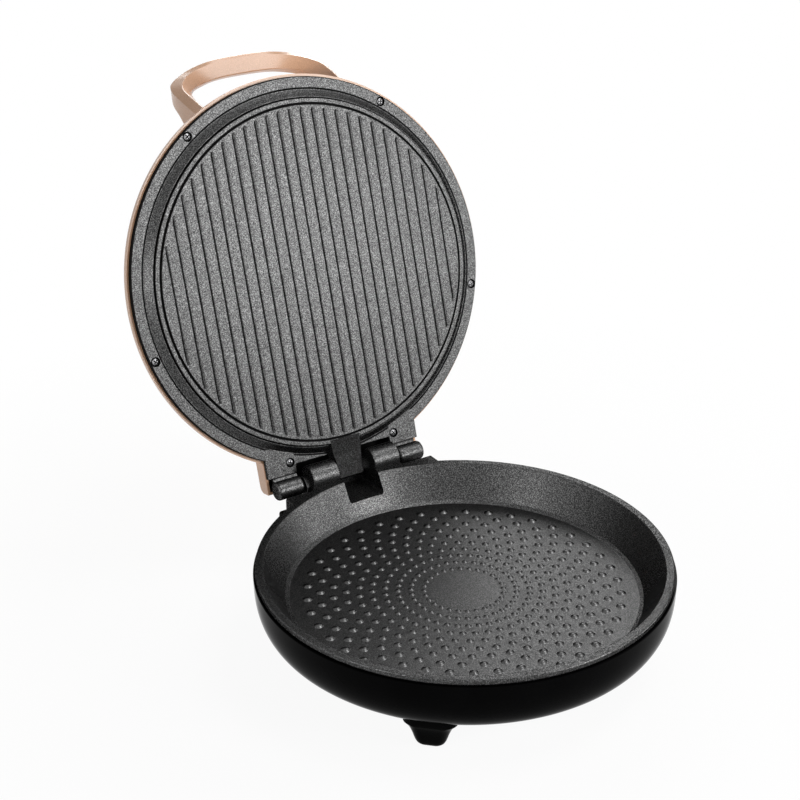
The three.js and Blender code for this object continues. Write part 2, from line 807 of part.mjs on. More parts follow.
function capsuleRing(halfLength, halfWidth, z) {
  const points = [];
  const steps = 2;
  for (const side of [1, -1]) {
    for (let i = 0; i <= steps; i += 1) {
      const angle = (side > 0 ? 0 : turn / 2) + (turn / 2) * (i / steps);
      const y = side * (halfLength - halfWidth) + halfWidth * Math.sin(angle);
      points.push([halfWidth * Math.cos(angle), y, z]);
    }
  }
  return points;
}

function lidRibs() {
  const ribs = [];
  for (let i = 0; i < ribCount; i += 1) {
    const x = (i - (ribCount - 1) / 2) * ribPitch;
    const half = Math.sqrt(ribEndRadius ** 2 - x ** 2);
    const rings = [
      capsuleRing(half - ribTopWidth / 4, ribTopWidth / 2, -lidDiscDrop - ribHeight),
      capsuleRing(half, ribWidth / 2, -lidDiscDrop),
      capsuleRing(half, ribWidth / 2, -lidDiscDrop + fit),
    ];
    ribs.push(loft(rings).translate([x, 0, 0]));
  }
  return join(ribs);
}

function lidScrewPlaces() {
  const places = [];
  for (const degrees of lidScrewDegrees) {
    for (const side of [-1, 1]) {
      places.push([side * lidScrewRadius * Math.sin(radians(degrees)),
        -lidScrewRadius * Math.cos(radians(degrees))]);
    }
  }
  places.push([-earScrewX, earScrewY], [earScrewX, earScrewY]);
  return places;
}

// Tapering wire tongue from the ribbed disc's edge down into the pan's notch
function lidTongue() {
  const ring = (y, half, z0, z1) => [[-half, y, z1], [half, y, z1], [half, y, z0], [-half, y, z0]];
  return loft([
    ring(lidDiscRadius + lidGrooveWidth, tongueHalf, -lidRingDrop, -lidDiscDrop + lidDiscThickness),
    ring(tongueBendY, (tongueHalf + tongueTipHalf) / 2, -lidDiscDrop, lidSideHeight),
    ring(tongueTipY, tongueTipHalf, -tongueTipDrop, tongueTipThickness - tongueTipDrop),
  ]);
}

const lidHingeY = hingeY - lidSetback;
const lidHingeZ = -hingeDrop - lidGap;
const lidPlateTop = lidDiscThickness - lidDiscDrop;

function upperTray() {
  const plate = revolve(lidPlateProfile(), outerSides);
  const ear = block(hingeEarInner, hingeEarHalf, hingeEarFront, hingeEarRear, 0, lidSideHeight);
  const barrelY = lidHingeY - barrelForward;
  const barrel = barrelAlongX(barrelRadius, barrelInner, barrelOuter, barrelY, lidHingeZ, roundSides,
    barrelEndRound);
  const web = carry([
    [hingeEarRear - edgeRound, lidSideHeight / 2], [barrelY, lidHingeZ],
    [barrelY + edgeRound, lidHingeZ + barrelRadius - edgeRound],
    [barrelY - edgeRound, lidSideHeight], [hingeEarRear - edgeRound, lidSideHeight],
  ], barrelInner, barrelOuter - barrelEndRound);
  const pocket = block(-hingeEarInner, hingeEarInner, pocketFront, hingeY + knuckleRadius,
    -lidSideHeight - lidDiscDrop, lidSideHeight + overrun);
  const seats = lidScrewPlaces().flatMap(([x, y]) => [
    upright(screwSeatRadius, x, y, -overrun, screwSeatDepth),
    upright(screwHole, x, y, 0, lidSideHeight + overrun)]);
  const stud = upright(studRadius, 0, 0, lidPlateTop - fit, lidReflectorZ - fit);
  const studPilot = upright(screwHole, 0, 0, lidPlateTop + overrun, lidReflectorZ);
  const bores = mirrored(barrelAlongX(pinRadius + pinClearance, barrelInner - overrun, pinOuter + fit,
    lidHingeY, lidHingeZ, smallSides));
  const body = join([plate, ...mirrored(ear)]).subtract(pocket);
  return join([body, ...mirrored(web), ...mirrored(barrel), lidTongue(), stud, lidRibs(),
    ...heaterRidges(lidPlateTop - fit, lidPlateTop + heaterRidgeHeight)])
    .subtract(join([...seats, ...bores, studPilot]));
}

const lidReflectorZ = lidPlateTop + reflectorDrop;

// Shallow domed profile: short side, round shoulder, then one long arc to the crown
function domeProfile(inset) {
  const points = [[domeLipRadius - inset, lidSideHeight + fit]];
  const shoulder = domeCornerRadius - inset;
  const centre = [domeLipRadius - domeCornerRadius, lidSideHeight + fit + domeSideHeight];
  const swept = radians(90 - domeSlopeDegrees);
  const shoulderSteps = inset > 0 ? 1 : 3;
  for (let i = 0; i <= shoulderSteps; i += 1) {
    const angle = swept * i / shoulderSteps;
    points.push([centre[0] + shoulder * Math.cos(angle), centre[1] + shoulder * Math.sin(angle)]);
  }
  const crownRadius = (centre[0] + domeCornerRadius * Math.cos(swept)) / Math.sin(radians(domeSlopeDegrees));
  const shoulderTop = centre[1] + domeCornerRadius * Math.sin(swept);
  const crownZ = shoulderTop - crownRadius * Math.cos(radians(domeSlopeDegrees));
  const crownSteps = inset > 0 ? 3 : 6;
  for (let i = 1; i <= crownSteps; i += 1) {
    const angle = radians(domeSlopeDegrees) * (1 - i / crownSteps);
    points.push([(crownRadius - inset) * Math.sin(angle), crownZ + (crownRadius - inset) * Math.cos(angle)]);
  }
  return points;
}

function domeBody(inset, bottom) {
  const profile = domeProfile(inset);
  return revolve([[0, bottom], [profile[0][0], bottom], ...profile.slice(1)], outerSides);
}

// Height of the dome's outer face at radius r
function domeHeight(r) {
  const profile = domeProfile(0);
  for (let i = 1; i + 1 < profile.length; i += 1) {
    const [a, b] = [profile[i], profile[i + 1]];
    if (r <= a[0] && r >= b[0]) return a[1] + (b[1] - a[1]) * (a[0] - r) / (a[0] - b[0]);
  }
  return profile[profile.length - 1][1];
}

// Box that carries the dome back over the hinge, round at its rear top edge
function skirtBody(inset, bottom) {
  const shape = new THREE.Shape();
  const top = lidSideHeight + skirtHeight - inset;
  const rear = skirtRear - inset;
  const corner = skirtCorner - inset / 2;
  shape.moveTo(skirtFront, bottom);
  shape.lineTo(rear, bottom);
  shape.absarc(rear - corner, top - corner, corner, 0, turn / 4);
  shape.lineTo(skirtFront, top);
  const width = 2 * (skirtHalf - inset);
  const geometry = new THREE.ExtrudeGeometry(shape, { depth: width, bevelEnabled: false, curveSegments: 2 });
  const axes = new THREE.Matrix4().makeBasis(
    new THREE.Vector3(0, 1, 0), new THREE.Vector3(0, 0, 1), new THREE.Vector3(1, 0, 0));
  return toSolid(geometry.applyMatrix4(axes).translate(-width / 2, 0, 0));
}

const panelTilt = Math.asin(panelPlace / ((domeLipRadius - domeCornerRadius
  + domeCornerRadius * Math.sin(radians(domeSlopeDegrees))) / Math.sin(radians(domeSlopeDegrees))));
const panelMatrix = new THREE.Matrix4()
  .makeTranslation(0, -panelPlace, domeHeight(panelPlace) + panelRise)
  .multiply(new THREE.Matrix4().makeRotationX(panelTilt));
const onPanel = shapeMatrix(panelMatrix);

const panelPlan = (grow) => roundedPlan(panelLength / 2 + grow, panelWidth / 2 + grow,
  panelCornerShare * panelWidth / 2 + grow);

function upperShell() {
  const bottom = lidSideHeight + fit;
  const outer = join([domeBody(0, bottom), skirtBody(0, bottom)]);
  const inner = join([domeBody(domeWall, bottom - overrun), skirtBody(domeWall, bottom - overrun)]);
  const bosses = join(lidScrewPlaces().map(([x, y]) =>
    upright(bossRadius, x, y, bottom, bottom + skirtHeight))).intersect(outer);
  const pilots = lidScrewPlaces().map(([x, y]) =>
    upright(screwHole, x, y, bottom - overrun, screwSeatDepth + lidScrewLength + fit));
  const pad = onPanel(raise(panelPlan(panelLedgeWidth), -panelPadDepth, 0))
    .subtract(domeBody(domeWall + panelThickness, bottom - overrun));
  const seat = onPanel(raise(panelPlan(fit), -panelThickness - fit, overrun));
  const through = onPanel(raise(panelPlan(-panelLedge), -panelPadDepth - overrun, overrun));
  const handleHoles = handleScrewPlaces().map(({ x, y }) =>
    upright(screwHole, x, y, bottom, domeHeight(0)));
  const knuckleRoom = block(-barrelInner, barrelInner, hingeEarRear, skirtRear + overrun,
    bottom - overrun, lidSideHeight + skirtHeight - domeWall);
  return join([outer.subtract(inner), bosses, pad])
    .subtract(join([...pilots, seat, through, ...handleHoles, knuckleRoom]));
}

function handleScrewPlaces() {
  return [-1, 1].map((side) => ({ x: side * handleScrewX, y: -handleScrewY }));
}

// The loop is one skin through rings of five corners: ridge, outer front, outer back,
// inner back and inner front, left foot over the grip to the right foot
function handleLoop() {
  const point = ([x, y, z], side) => [side * x * handleHalf, -y * handleReach, z * handleLift];
  const corners = [handleRidgeShares, handleOuterShares, handleOuterBackShares,
    handleInnerBackShares, handleInnerShares];
  const right = handleRidgeShares.map((_, i) => corners.map((shares) => point(shares[i], 1)));
  const left = handleRidgeShares.map((_, i) => corners.map((shares) => point(shares[i], -1)));
  return loft([...left, ...right.reverse()]);
}

function handleSolid() {
  const clear = domeBody(-fit, lidSideHeight);
  const pilots = handleScrewPlaces().map(({ x, y }) =>
    upright(screwHole, x, y, 0, handleScrewSeat(x, y) + handleScrewLength + fit));
  const pieces = handleLoop().subtract(join([clear, ...pilots])).decompose();
  return pieces.sort((a, b) => b.volume() - a.volume())[0];
}

const handleScrewSeat = (x, y) => domeHeight(Math.hypot(x, y)) - 2 * domeWall;

function controlPanel() {
  const plate = raise(panelPlan(0), -panelThickness, 0);
  const holes = [-1, 1].flatMap((side) => [
    upright(buttonRadius + fit, side * buttonSpacing / 2, 0, -panelThickness - overrun, overrun, roundSides),
    upright(lensRadius + fit, side * buttonSpacing / 2, lensPlace, -panelThickness - overrun, overrun)]);
  return onPanel(plate.subtract(join(holes)));
}

// A button's cap above the panel and its retaining flange beneath it
function button(side) {
  const under = -panelThickness - fit;
  const cap = revolve([
    [0, under - buttonFlange], [buttonRadius + buttonFlange, under - buttonFlange],
    [buttonRadius + buttonFlange, under], [buttonRadius, under],
    [buttonRadius, buttonProud - edgeRound], [buttonRadius - edgeRound, buttonProud],
    [buttonRadius / 2, buttonProud - edgeRound / 2], [0, buttonProud - edgeRound]], roundSides);
  return onPanel(cap.translate([side * buttonSpacing / 2, 0, 0]));
}

function lens(side) {
  const x = side * buttonSpacing / 2;
  return onPanel(upright(lensRadius, x, lensPlace, edgeRound - lensLength, edgeRound));
}

// The board seats against the pad's underside and its plungers stop the buttons
function switchModule() {
  const top = -panelPadDepth - fit;
  const under = top - switchBoardThickness;
  const board = block(-switchBoardWidth / 2, switchBoardWidth / 2,
    -switchBoardDepth / 2, switchBoardDepth / 2, under, top);
  const body = block(-switchWidth / 2, switchWidth / 2, -switchDepth / 2, switchDepth / 2,
    under - switchHeight, top - switchBoardThickness / 2);
  const stop = -panelThickness - buttonFlange - buttonTravel - 2 * fit;
  const plungers = [-1, 1].map((side) =>
    upright(plungerRadius, side * buttonSpacing / 2, 0, top - switchBoardThickness / 2, stop));
  return onPanel(join([board, body, ...plungers]));
}

// Assembly
const group = new THREE.Group();
const base = new THREE.Group();
const lidSwing = new THREE.Group();
const lid = new THREE.Group();
lid.position.set(0, -lidHingeY, -lidHingeZ);
lidSwing.position.set(0, hingeY, hingeZ);
lidSwing.rotation.x = -radians(lidOpenDegrees);
lidSwing.add(lid);
base.add(lidSwing);
group.add(base);

function add(parent, name, solid, material) {
  const mesh = new THREE.Mesh(toGeometry(solid), material);
  mesh.name = name;
  parent.add(mesh);
  return mesh;
}

add(base, "lower_tray", lowerTray(), nonStick);
add(base, "base_shell", baseShell(), glossBlack);
for (const place of footPlaces()) add(base, `foot_pad_${place.name}`, footPad(place), rubber);

const sideName = (x) => (x < 0 ? "left" : "right");
for (const side of [-1, 1]) {
  const pin = barrelAlongX(pinRadius, pinInner, pinOuter, hingeY, hingeZ, smallSides);
  add(base, `hinge_pin_${sideName(side)}`, side > 0 ? pin : pin.mirror([1, 0, 0]), steel);
}

add(base, "lower_heater", heater(panUnderZ - fit - heaterTube, -heaterLead), heaterSheath);
add(base, "lower_reflector", reflector(panUnderZ - reflectorDrop, reflectorEdge), aluminised);
add(base, "lower_reflector_screw",
  screw(0, 0, panUnderZ - reflectorDrop - reflectorGauge - fit, 1, reflectorDrop), steel);
add(base, "lower_thermostat", upright(thermostatRadius, 0, thermostatPlace,
  panUnderZ - fit - thermostatHeight, panUnderZ - fit, roundSides), blackPlastic);
add(base, "lower_thermal_fuse", barrelAlongX(fuseRadius, -fuseLength / 2, fuseLength / 2,
  fusePlace, panUnderZ - fit - fuseRadius, smallSides), ceramic);
basePlaces().forEach(([x, y], i) => add(base, `base_screw_${i + 1}`,
  screw(x, y, shellBottomZ + screwSeatDepth - fit / 2, 1, baseScrewLength), steel));

const inletFrame = new THREE.Matrix4().makeTranslation(0, housingRear, -inletDrop)
  .multiply(new THREE.Matrix4().makeRotationX(-turn / 4));
const atInlet = shapeMatrix(inletFrame);
add(base, "inlet_housing", atInlet(inletHousing().translate([0, 0, fit])), blackPlastic);
["line", "neutral", "earth"].forEach((name, i) => {
  const [x, y] = inletPins()[i];
  const start = -inletDepth - inletWall;
  const pin = upright(inletPinRadius, x, y, start, start + inletPinLength);
  add(base, `inlet_pin_${name}`, atInlet(pin), brass);
});

add(lid, "upper_tray", upperTray(), nonStick);
add(lid, "upper_shell", upperShell(), roseGold);
add(lid, "lid_handle", handleSolid(), roseGold);
lidScrewPlaces().forEach(([x, y], i) =>
  add(lid, `tray_screw_${i + 1}`, screw(x, y, screwSeatDepth - fit / 2, 1, lidScrewLength), steel));
add(lid, "upper_heater", heater(lidPlateTop + fit + heaterTube, heaterLead), heaterSheath);
add(lid, "upper_reflector", reflector(lidReflectorZ, -reflectorEdge), aluminised);
add(lid, "upper_reflector_screw",
  screw(0, 0, lidReflectorZ + reflectorGauge + fit, -1, reflectorDrop), steel);
add(lid, "upper_thermostat", upright(thermostatRadius, 0, thermostatPlace,
  lidPlateTop + fit, lidPlateTop + fit + thermostatHeight, roundSides), blackPlastic);
add(lid, "upper_thermal_fuse", barrelAlongX(fuseRadius, -fuseLength / 2, fuseLength / 2,
  fusePlace, lidPlateTop + fit + fuseRadius, smallSides), ceramic);
add(lid, "control_panel", controlPanel(), blackPlastic);
add(lid, "upper_heat_button", button(-1), roseGold);
add(lid, "lower_heat_button", button(1), roseGold);
add(lid, "upper_heat_lens", lens(-1), amberLens);
add(lid, "lower_heat_lens", lens(1), amberLens);
add(lid, "switch_module", switchModule(), blackPlastic);
handleScrewPlaces().forEach(({ x, y }) => add(lid, `handle_screw_${sideName(x)}`,
  screw(x, y, handleScrewSeat(x, y) - fit / 2, 1, handleScrewLength), steel));

// Stand the pads on z = 0 and centre the plan of the bounding box on the origin
base.position.z = rimHeight;
group.updateMatrixWorld(true);
const bounds = new THREE.Box3().setFromObject(group, true);
base.position.y -= (bounds.min.y + bounds.max.y) / 2;
group.updateMatrixWorld(true);

export default group;
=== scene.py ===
from math import asin, cos, hypot, pi, radians, sin, sqrt, tan

import bmesh
import bpy
from mathutils import Matrix, Vector

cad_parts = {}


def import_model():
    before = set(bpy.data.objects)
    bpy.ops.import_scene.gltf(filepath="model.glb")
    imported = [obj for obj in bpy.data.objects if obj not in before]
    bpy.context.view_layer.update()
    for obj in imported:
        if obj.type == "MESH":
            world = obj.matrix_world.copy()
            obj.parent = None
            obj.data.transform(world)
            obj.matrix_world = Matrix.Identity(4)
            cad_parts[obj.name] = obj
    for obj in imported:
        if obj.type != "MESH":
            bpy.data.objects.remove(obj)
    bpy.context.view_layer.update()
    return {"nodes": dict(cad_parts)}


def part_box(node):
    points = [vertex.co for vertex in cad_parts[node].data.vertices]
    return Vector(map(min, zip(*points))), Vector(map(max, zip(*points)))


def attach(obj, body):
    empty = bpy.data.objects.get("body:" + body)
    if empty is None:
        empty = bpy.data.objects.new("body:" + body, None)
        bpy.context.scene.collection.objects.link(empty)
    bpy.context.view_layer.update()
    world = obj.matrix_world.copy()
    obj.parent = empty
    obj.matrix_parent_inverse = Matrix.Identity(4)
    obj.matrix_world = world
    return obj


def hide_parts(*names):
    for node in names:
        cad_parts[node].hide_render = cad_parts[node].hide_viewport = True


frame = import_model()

# Sizes are in millimetres, in the pan's own frame: origin at the centre of the pan's
# rim plane, x to the right, y towards the hinge and z up. The lid is drawn closed.
MM = 0.001
TURN = 2 * pi

# Lower tray
PAN_RIM = 159
PAN_RIM_WIDTH = 6.4
PAN_DEPTH = 28
PAN_FLOOR = 133.6
PAN_CHAMFER_RUN = 3.2
PAN_CHAMFER_RISE = 1.8
PAN_UNDER = 4
PAN_WALL = 2.6
PAN_WALL_SLANT = 1.15
PAN_SHOULDER = 1.6
FLANGE = 4
NECK = 157.4
NECK_DEPTH = 9
PAN_OUTER_CORNERS = (0, 2.5, 4, 2, 1, 0.4, 0.5, 1.2, 0)
PAN_INNER_CORNERS = (0, 1.2, 1.2, 1.2, 0, 0, 0)

# Floor bumps
BUMP_RINGS = 10
BUMP_FIRST = 30.5
BUMP_PITCH = 9.95
BUMP_INNER_COUNTS = (28, 35)
BUMP_COUNT = 40
BUMP_SIZES = (2.05, 3.5)
BUMP_HEIGHTS = (1, 1.5)
BUMP_START = -0.0092
BUMP_SECOND_START = -0.0189
BUMP_SKIRT = 1.12
BUMP_OUTLINE = ((1.08, 0), (0.97, 0.10), (0.84, 0.34), (0.66, 0.62), (0.44, 0.85), (0.22, 0.97),
                (0, 1))
BUMP_SIDES = 20

# Lid plate
LID_RIM = 159
LID_RIM_WIDTH = 8.7
LID_SIDE = 4
DISC = 136.2
DISC_DROP = 7.3
DISC_THICKNESS = 3
RING = 141.3
RING_DROP = 6.8
GROOVE_WIDTH = 1.8
GROOVE_DEPTH = 1.5
TRENCH_WIDTH = 1
TRENCH_DROP = 3.4
SLOPE_DROP = 5.2
SLOPE_MIDDLE = (145.6, -2)
SLOPE_TOP = (148.4, 0.3)
LID_BACK_INSET = 1.3
LID_CORNERS = (0, 0.4, 0, 0, 0.3, 0.4, 0, 0, 0.6, 6, 0.8, 0.6, 0.9, 0.2, 1, 1, 1, 0)
RIB_COUNT = 25
RIB_PITCH = 10.44
RIB_END = 134
RIB_WIDTH = 2.5
RIB_TOP = 1.5
RIB_HEIGHT = 1.15
RIB_GROOVE = 0.65
RIB_GROOVE_DEPTH = 0.9
RIB_STEPS = 5
RIB_END_STEPS = 6

# Hinge
HINGE_Y = 170.7
HINGE_Z = -3.85
LID_SETBACK = 1.7
LID_GAP = 0.9
LID_OPEN = 106.8
KNUCKLE = 11.2
KNUCKLE_FORWARD = 2.5
KNUCKLE_RISE = 6.5
KNUCKLE_COLLAR = 8
KNUCKLE_INNER = 17
KNUCKLE_SHOULDER = 41
KNUCKLE_OUTER = 44.8
KNUCKLE_END = 0.8
COLLAR_END = 0.6
BARREL = 7.9
BARREL_FORWARD = 1.8
BARREL_INNER = 46
BARREL_OUTER = 70
BARREL_END = 2.4
WEB_INSET = 0.7
BLOCK_HALF = 70
BLOCK_REAR = 154.4
BLOCK_FRONT = 138
BLOCK_DEPTH = 19.5
BLOCK_CHAMFER = 8
BLOCK_CORNERS = (0, 1.6, 3, 3, 0)
BLOCK_EDGE = 1.2
EAR_INNER = 45.2
EAR_HALF = 72
EAR_FRONT = 132
EAR_REAR = 157.5
EAR_EDGE = 0.5
NOTCH_HALF = 16.4
NOTCH_DEPTH = 16
NOTCH_CORNER = 2.5
NOTCH_FRONT = 138.5
TONGUE_HALF = 14.6
TONGUE_TIP_HALF = 11.5
TONGUE_TIP_Y = 172
TONGUE_BEND_Y = 154
TONGUE_TIP_DROP = 8.6
TONGUE_TIP_THICKNESS = 9
TONGUE_EDGE = 0.8
TONGUE_END = 1
POCKET_FRONT = 150
CHANNEL_REAR = 178
CHANNEL_WALL = 2.5
CHANNEL_DROP = 8.5

# Base shell
SHELL_LIP = 160.5
SHELL_LIP_DROP = 5.2
SHELL_DEPTH = 48
SHELL_BOTTOM = 112
SHELL_WALL = 2.6
SHELL_EDGE = 0.5
SHELL_SHARE = 2 / 3
SHELL_STEPS = 28
SHELL_INNER_STEPS = 14
HOUSING_HALF = 68
HOUSING_REAR = 171.5
HOUSING_TOP = 20.3
HOUSING_BOTTOM = 46
HOUSING_RAMP = 18
HOUSING_FRONT = 112
HOUSING_CORNERS = (0, 2.4, 3, 6, 0)
HOUSING_EDGE = 2
VENT_COUNT = 10
VENT_RADIUS = 52
VENT_LENGTH = 22
VENT_WIDTH = 4

# Feet
FOOT_HEIGHT = 18.8
FOOT_RADIUS = 133
FRONT_FOOT = 43.8
REAR_FOOT = 34
FOOT_ROOT = (20, 13)
FOOT_TIP = (11.5, 9)
FOOT_CORNER = 0.72
PAD = 5
PAD_HEIGHT = 3
PAD_PROUD = 1
PAD_DIMPLE = (2.8, 3.3)
PAD_DIMPLE_DEPTH = 0.5
PAD_CORNERS = (0, 0.3, 0.3, 0.7, 0.2, 0)

# Lid shell
DOME_LIP = 161.3
DOME_WALL = 2.2
DOME_SIDE = 2.5
DOME_CORNER = 8
DOME_SLOPE = 22
DOME_STEPS = (12, 30)
DOME_INNER_STEPS = (4, 12)
SKIRT_HALF = 72.6
SKIRT_REAR = 171
SKIRT_FRONT = 68
SKIRT_HEIGHT = 14
SKIRT_CORNER = 9
SKIRT_EDGE = 0.8

# Screws
HEAD = 3
HEAD_CROWN = -2
HEAD_SIDE = 0.5
HEAD_TOP = 1.35
HEAD_TOP_DROP = 0.12
HEAD_EDGE = 2.55
HEAD_EDGE_RISE = 1.24
HEAD_CORNERS = (0, 1, 0.8, 0.3, 0, 0, 0, 0)
SHANK = 1.6
SHANK_LENGTH = 3
CROSS_HALF = 1.9
CROSS_ARM_HALF = 0.5
CROSS_DEPTH = 1.15
CROSS_NEAR = 0.05
CROSS_RIM = 0.3
SEAT = 4
SEAT_DEPTH = 2.1
LID_SCREW_RADIUS = 154.4
LID_SCREW_DEGREES = (34.9, 105)
EAR_SCREW = (50, 148.1)
BASE_SCREW_RADIUS = 115
BASE_SCREW_DEGREES = (20, 160, 200, 340)
LID_SCREW_TURN = (20, 37)
BASE_SCREW_TURN = (15, 49)

# Controls
PANEL_LENGTH = 76
PANEL_WIDTH = 36
PANEL_THICKNESS = 2.4
PANEL_PLACE = 92
PANEL_RISE = 1.2
PANEL_LEDGE = 4
PANEL_ROOT = 6
PANEL_STEPS = 14
PANEL_FLAT = 1
PANEL_EDGE = 0.5
LEDGE_EDGE = 0.9
BUTTON = 9
BUTTON_SPACING = 38
BUTTON_PROUD = 2.6
BUTTON_LIP = 1
BUTTON_RING = (1.6, 3.2)
BUTTON_DISHES = (0.5, 0.9)
BUTTON_CORNERS = (0, 0.2, 0.2, 0.2, 0.8, 0.5, 2, 0)
BUTTON_SIDES = 96
LENS = 1.8
LENS_PLACE = 12.4
LENS_DEPTH = 2.7
LENS_SIDE = 0.35
LENS_TOP = 0.7
LENS_CORNERS = (0, 0.2, 0.5, 0)

# Mains inlet
INLET_WIDTH = 24
INLET_HEIGHT = 16.8
INLET_WALL = 1.8
INLET_DEPTH = 16
INLET_DROP = 34
INLET_PIN = 2
INLET_PIN_PITCH = 6.2
INLET_PIN_RISE = 2
INLET_PIN_LENGTH = 14
INLET_PIN_END = 0.9
INLET_PIN_SIDES = 32
INLET_CUT = 14
INLET_EDGE = 0.4

# Fits and smoothness
FIT = 0.3
OVERRUN = 1
ROUND = 192
FINE = 48
COLLAR_SIDES = 64
KNUCKLE_SIDES = 72
BEVEL_STEPS = 3
CORNER_REACH = 0.48
ALMOST_ZERO = 1e-6
SHARP = radians(28)

SHELL_BOTTOM_Z = -SHELL_LIP_DROP - SHELL_DEPTH
FOOT_BOTTOM_Z = SHELL_BOTTOM_Z - FOOT_HEIGHT
RIM_HEIGHT = PAD_PROUD - FOOT_BOTTOM_Z
PAN_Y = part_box("lower_tray")[0][1] / MM + PAN_RIM
PAN_FLOOR_Z = -PAN_DEPTH
PAN_UNDER_Z = PAN_FLOOR_Z - PAN_UNDER
PAN_MOUTH = PAN_RIM - PAN_RIM_WIDTH
SHELL_LIP_Z = LID_SIDE + FIT
DOME_SWEEP = radians(90 - DOME_SLOPE)


def shift(x, y, z):
    return Matrix.Translation((x, y, z))


def turn(angle, axis):
    return Matrix.Rotation(angle, 4, axis)


# Placing matrices: pan frame and closed-lid frame into the row frame in metres
BASE = Matrix.Scale(MM, 4) @ shift(0, PAN_Y, RIM_HEIGHT)
LID = (BASE @ shift(0, HINGE_Y, HINGE_Z) @ turn(-radians(LID_OPEN), "X")
       @ shift(0, LID_SETBACK - HINGE_Y, LID_GAP - HINGE_Z))


# Outlines
def rounded(points, radii, steps=5, closed=False):
    """Points with each corner turned into an arc of its radius."""
    result = []
    count = len(points)
    for i, (point, radius) in enumerate(zip(points, radii)):
        if radius == 0 or (not closed and i in (0, count - 1)):
            result.append(tuple(point))
            continue
        corner = Vector(point)
        before = Vector(points[i - 1]) - corner
        after = Vector(points[(i + 1) % count]) - corner
        half = before.angle(after) / 2
        reach = min(radius / tan(half), CORNER_REACH * before.length, CORNER_REACH * after.length)
        middle = (before.normalized() + after.normalized()).normalized()
        centre = corner + middle * reach / cos(half)
        start = corner + before.normalized() * reach - centre
        end = corner + after.normalized() * reach - centre
        for step in range(steps + 1):
            share = step / steps
            spoke = start.lerp(end, share).normalized() * start.length
            result.append(tuple(centre + spoke))
    return result


def oblong(x0, x1, y0, y1):
    """Corners of a rectangle."""
    return [(x0, y0), (x1, y0), (x1, y1), (x0, y1)]


def pill(half_x, half_y, corner, steps=8):
    """Rounded rectangle about the origin."""
    corner = min(corner, half_x, half_y)
    right, top = half_x - corner, half_y - corner
    points = []
    for quarter, (x, y) in enumerate([(right, top), (-right, top), (-right, -top), (right, -top)]):
        for step in range(steps + 1):
            angle = TURN * (quarter + step / steps) / 4
            points.append((x + corner * cos(angle), y + corner * sin(angle)))
    return points


# Mesh forms, each a bmesh in millimetres
def lathe(profile, segments=ROUND):
    """Profile of (radius, z) turned about z; it is closed where its ends lie on the axis."""
    form = bmesh.new()
    angles = [TURN * i / segments for i in range(segments)]
    rings = []
    for radius, z in profile:
        spots = [(radius * cos(a), radius * sin(a), z) for a in angles]
        if radius < ALMOST_ZERO:
            spots = [(0, 0, z)]
        rings.append([form.verts.new(spot) for spot in spots])
    for lower, upper in zip(rings, rings[1:]):
        for i in range(segments):
            j = (i + 1) % segments
            corners = [lower[i % len(lower)], lower[j % len(lower)],
                       upper[j % len(upper)], upper[i % len(upper)]]
            corners = list(dict.fromkeys(corners))
            if len(corners) > 2:
                form.faces.new(corners)
    bmesh.ops.recalc_face_normals(form, faces=form.faces)
    return form


def loft(rings):
    """Rings of equal point counts joined into one closed skin."""
    form = bmesh.new()
    made = [[form.verts.new(point) for point in ring] for ring in rings]
    count = len(rings[0])
    for lower, upper in zip(made, made[1:]):
        for i in range(count):
            j = (i + 1) % count
            form.faces.new((lower[i], lower[j], upper[j], upper[i]))
    form.faces.new(reversed(made[0]))
    form.faces.new(made[-1])
    bmesh.ops.recalc_face_normals(form, faces=form.faces)
    return form


def raised(outline, z0, z1, bevel=0.0):
    """Plan outline raised from z0 to z1, its top edge rounded by bevel."""
    levels = [(z0, 0)] + [(z1 - short, by) for short, by in end_arc(bevel, BEVEL_STEPS)]
    return loft([[(x, y, z) for x, y in inset(outline, by)] for z, by in levels])


def end_arc(bevel, steps):
    """Steps of a rounded end: how far each is short of the end, and how far it is inset."""
    if bevel == 0:
        return [(0, 0)]
    angles = [TURN / 4 * step / steps for step in range(steps + 1)]
    return [(bevel * (1 - sin(a)), bevel * (1 - cos(a))) for a in angles]


def inset(outline, by):
    """Each point moved inwards along the outline's own normal."""
    result = []
    count = len(outline)
    for i, (x, y) in enumerate(outline):
        before, after = outline[i - 1], outline[(i + 1) % count]
        along = Vector((after[0] - before[0], after[1] - before[1]))
        if along.length < ALMOST_ZERO:
            result.append((x, y))
            continue
        along.normalize()
        result.append((x - along.y * by, y + along.x * by))
    return result


def carried(outline, x0, x1, bevel=0.0, steps=BEVEL_STEPS):
    """Side outline (y, z) carried along x, with both ends rounded by bevel."""
    arc = end_arc(bevel, steps)
    levels = [(x0 + short, by) for short, by in reversed(arc)]
    levels += [(x1 - short, by) for short, by in arc]
    area = sum(a[0] * b[1] - b[0] * a[1] for a, b in zip(outline, outline[1:] + outline[:1]))
    if area < 0:
        outline = outline[::-1]
    return loft([[(x, y, z) for y, z in inset(outline, by)] for x, by in levels])


def block(x0, x1, y0, y1, z0, z1, bevel=0.0):
    form = bmesh.new()
    bmesh.ops.create_cube(form, size=1.0)
    bmesh.ops.scale(form, vec=(x1 - x0, y1 - y0, z1 - z0), verts=form.verts)
    bmesh.ops.translate(form, vec=((x0 + x1) / 2, (y0 + y1) / 2, (z0 + z1) / 2), verts=form.verts)
    if bevel > 0:
        bmesh.ops.bevel(form, geom=list(form.edges), offset=bevel, segments=BEVEL_STEPS,
                        profile=0.5, affect="EDGES")
    return form


def upright(radius, x, y, z0, z1, segments=FINE):
    form = lathe(oblong(0, radius, z0, z1), segments)
    bmesh.ops.translate(form, vec=(x, y, 0), verts=form.verts)
    return form


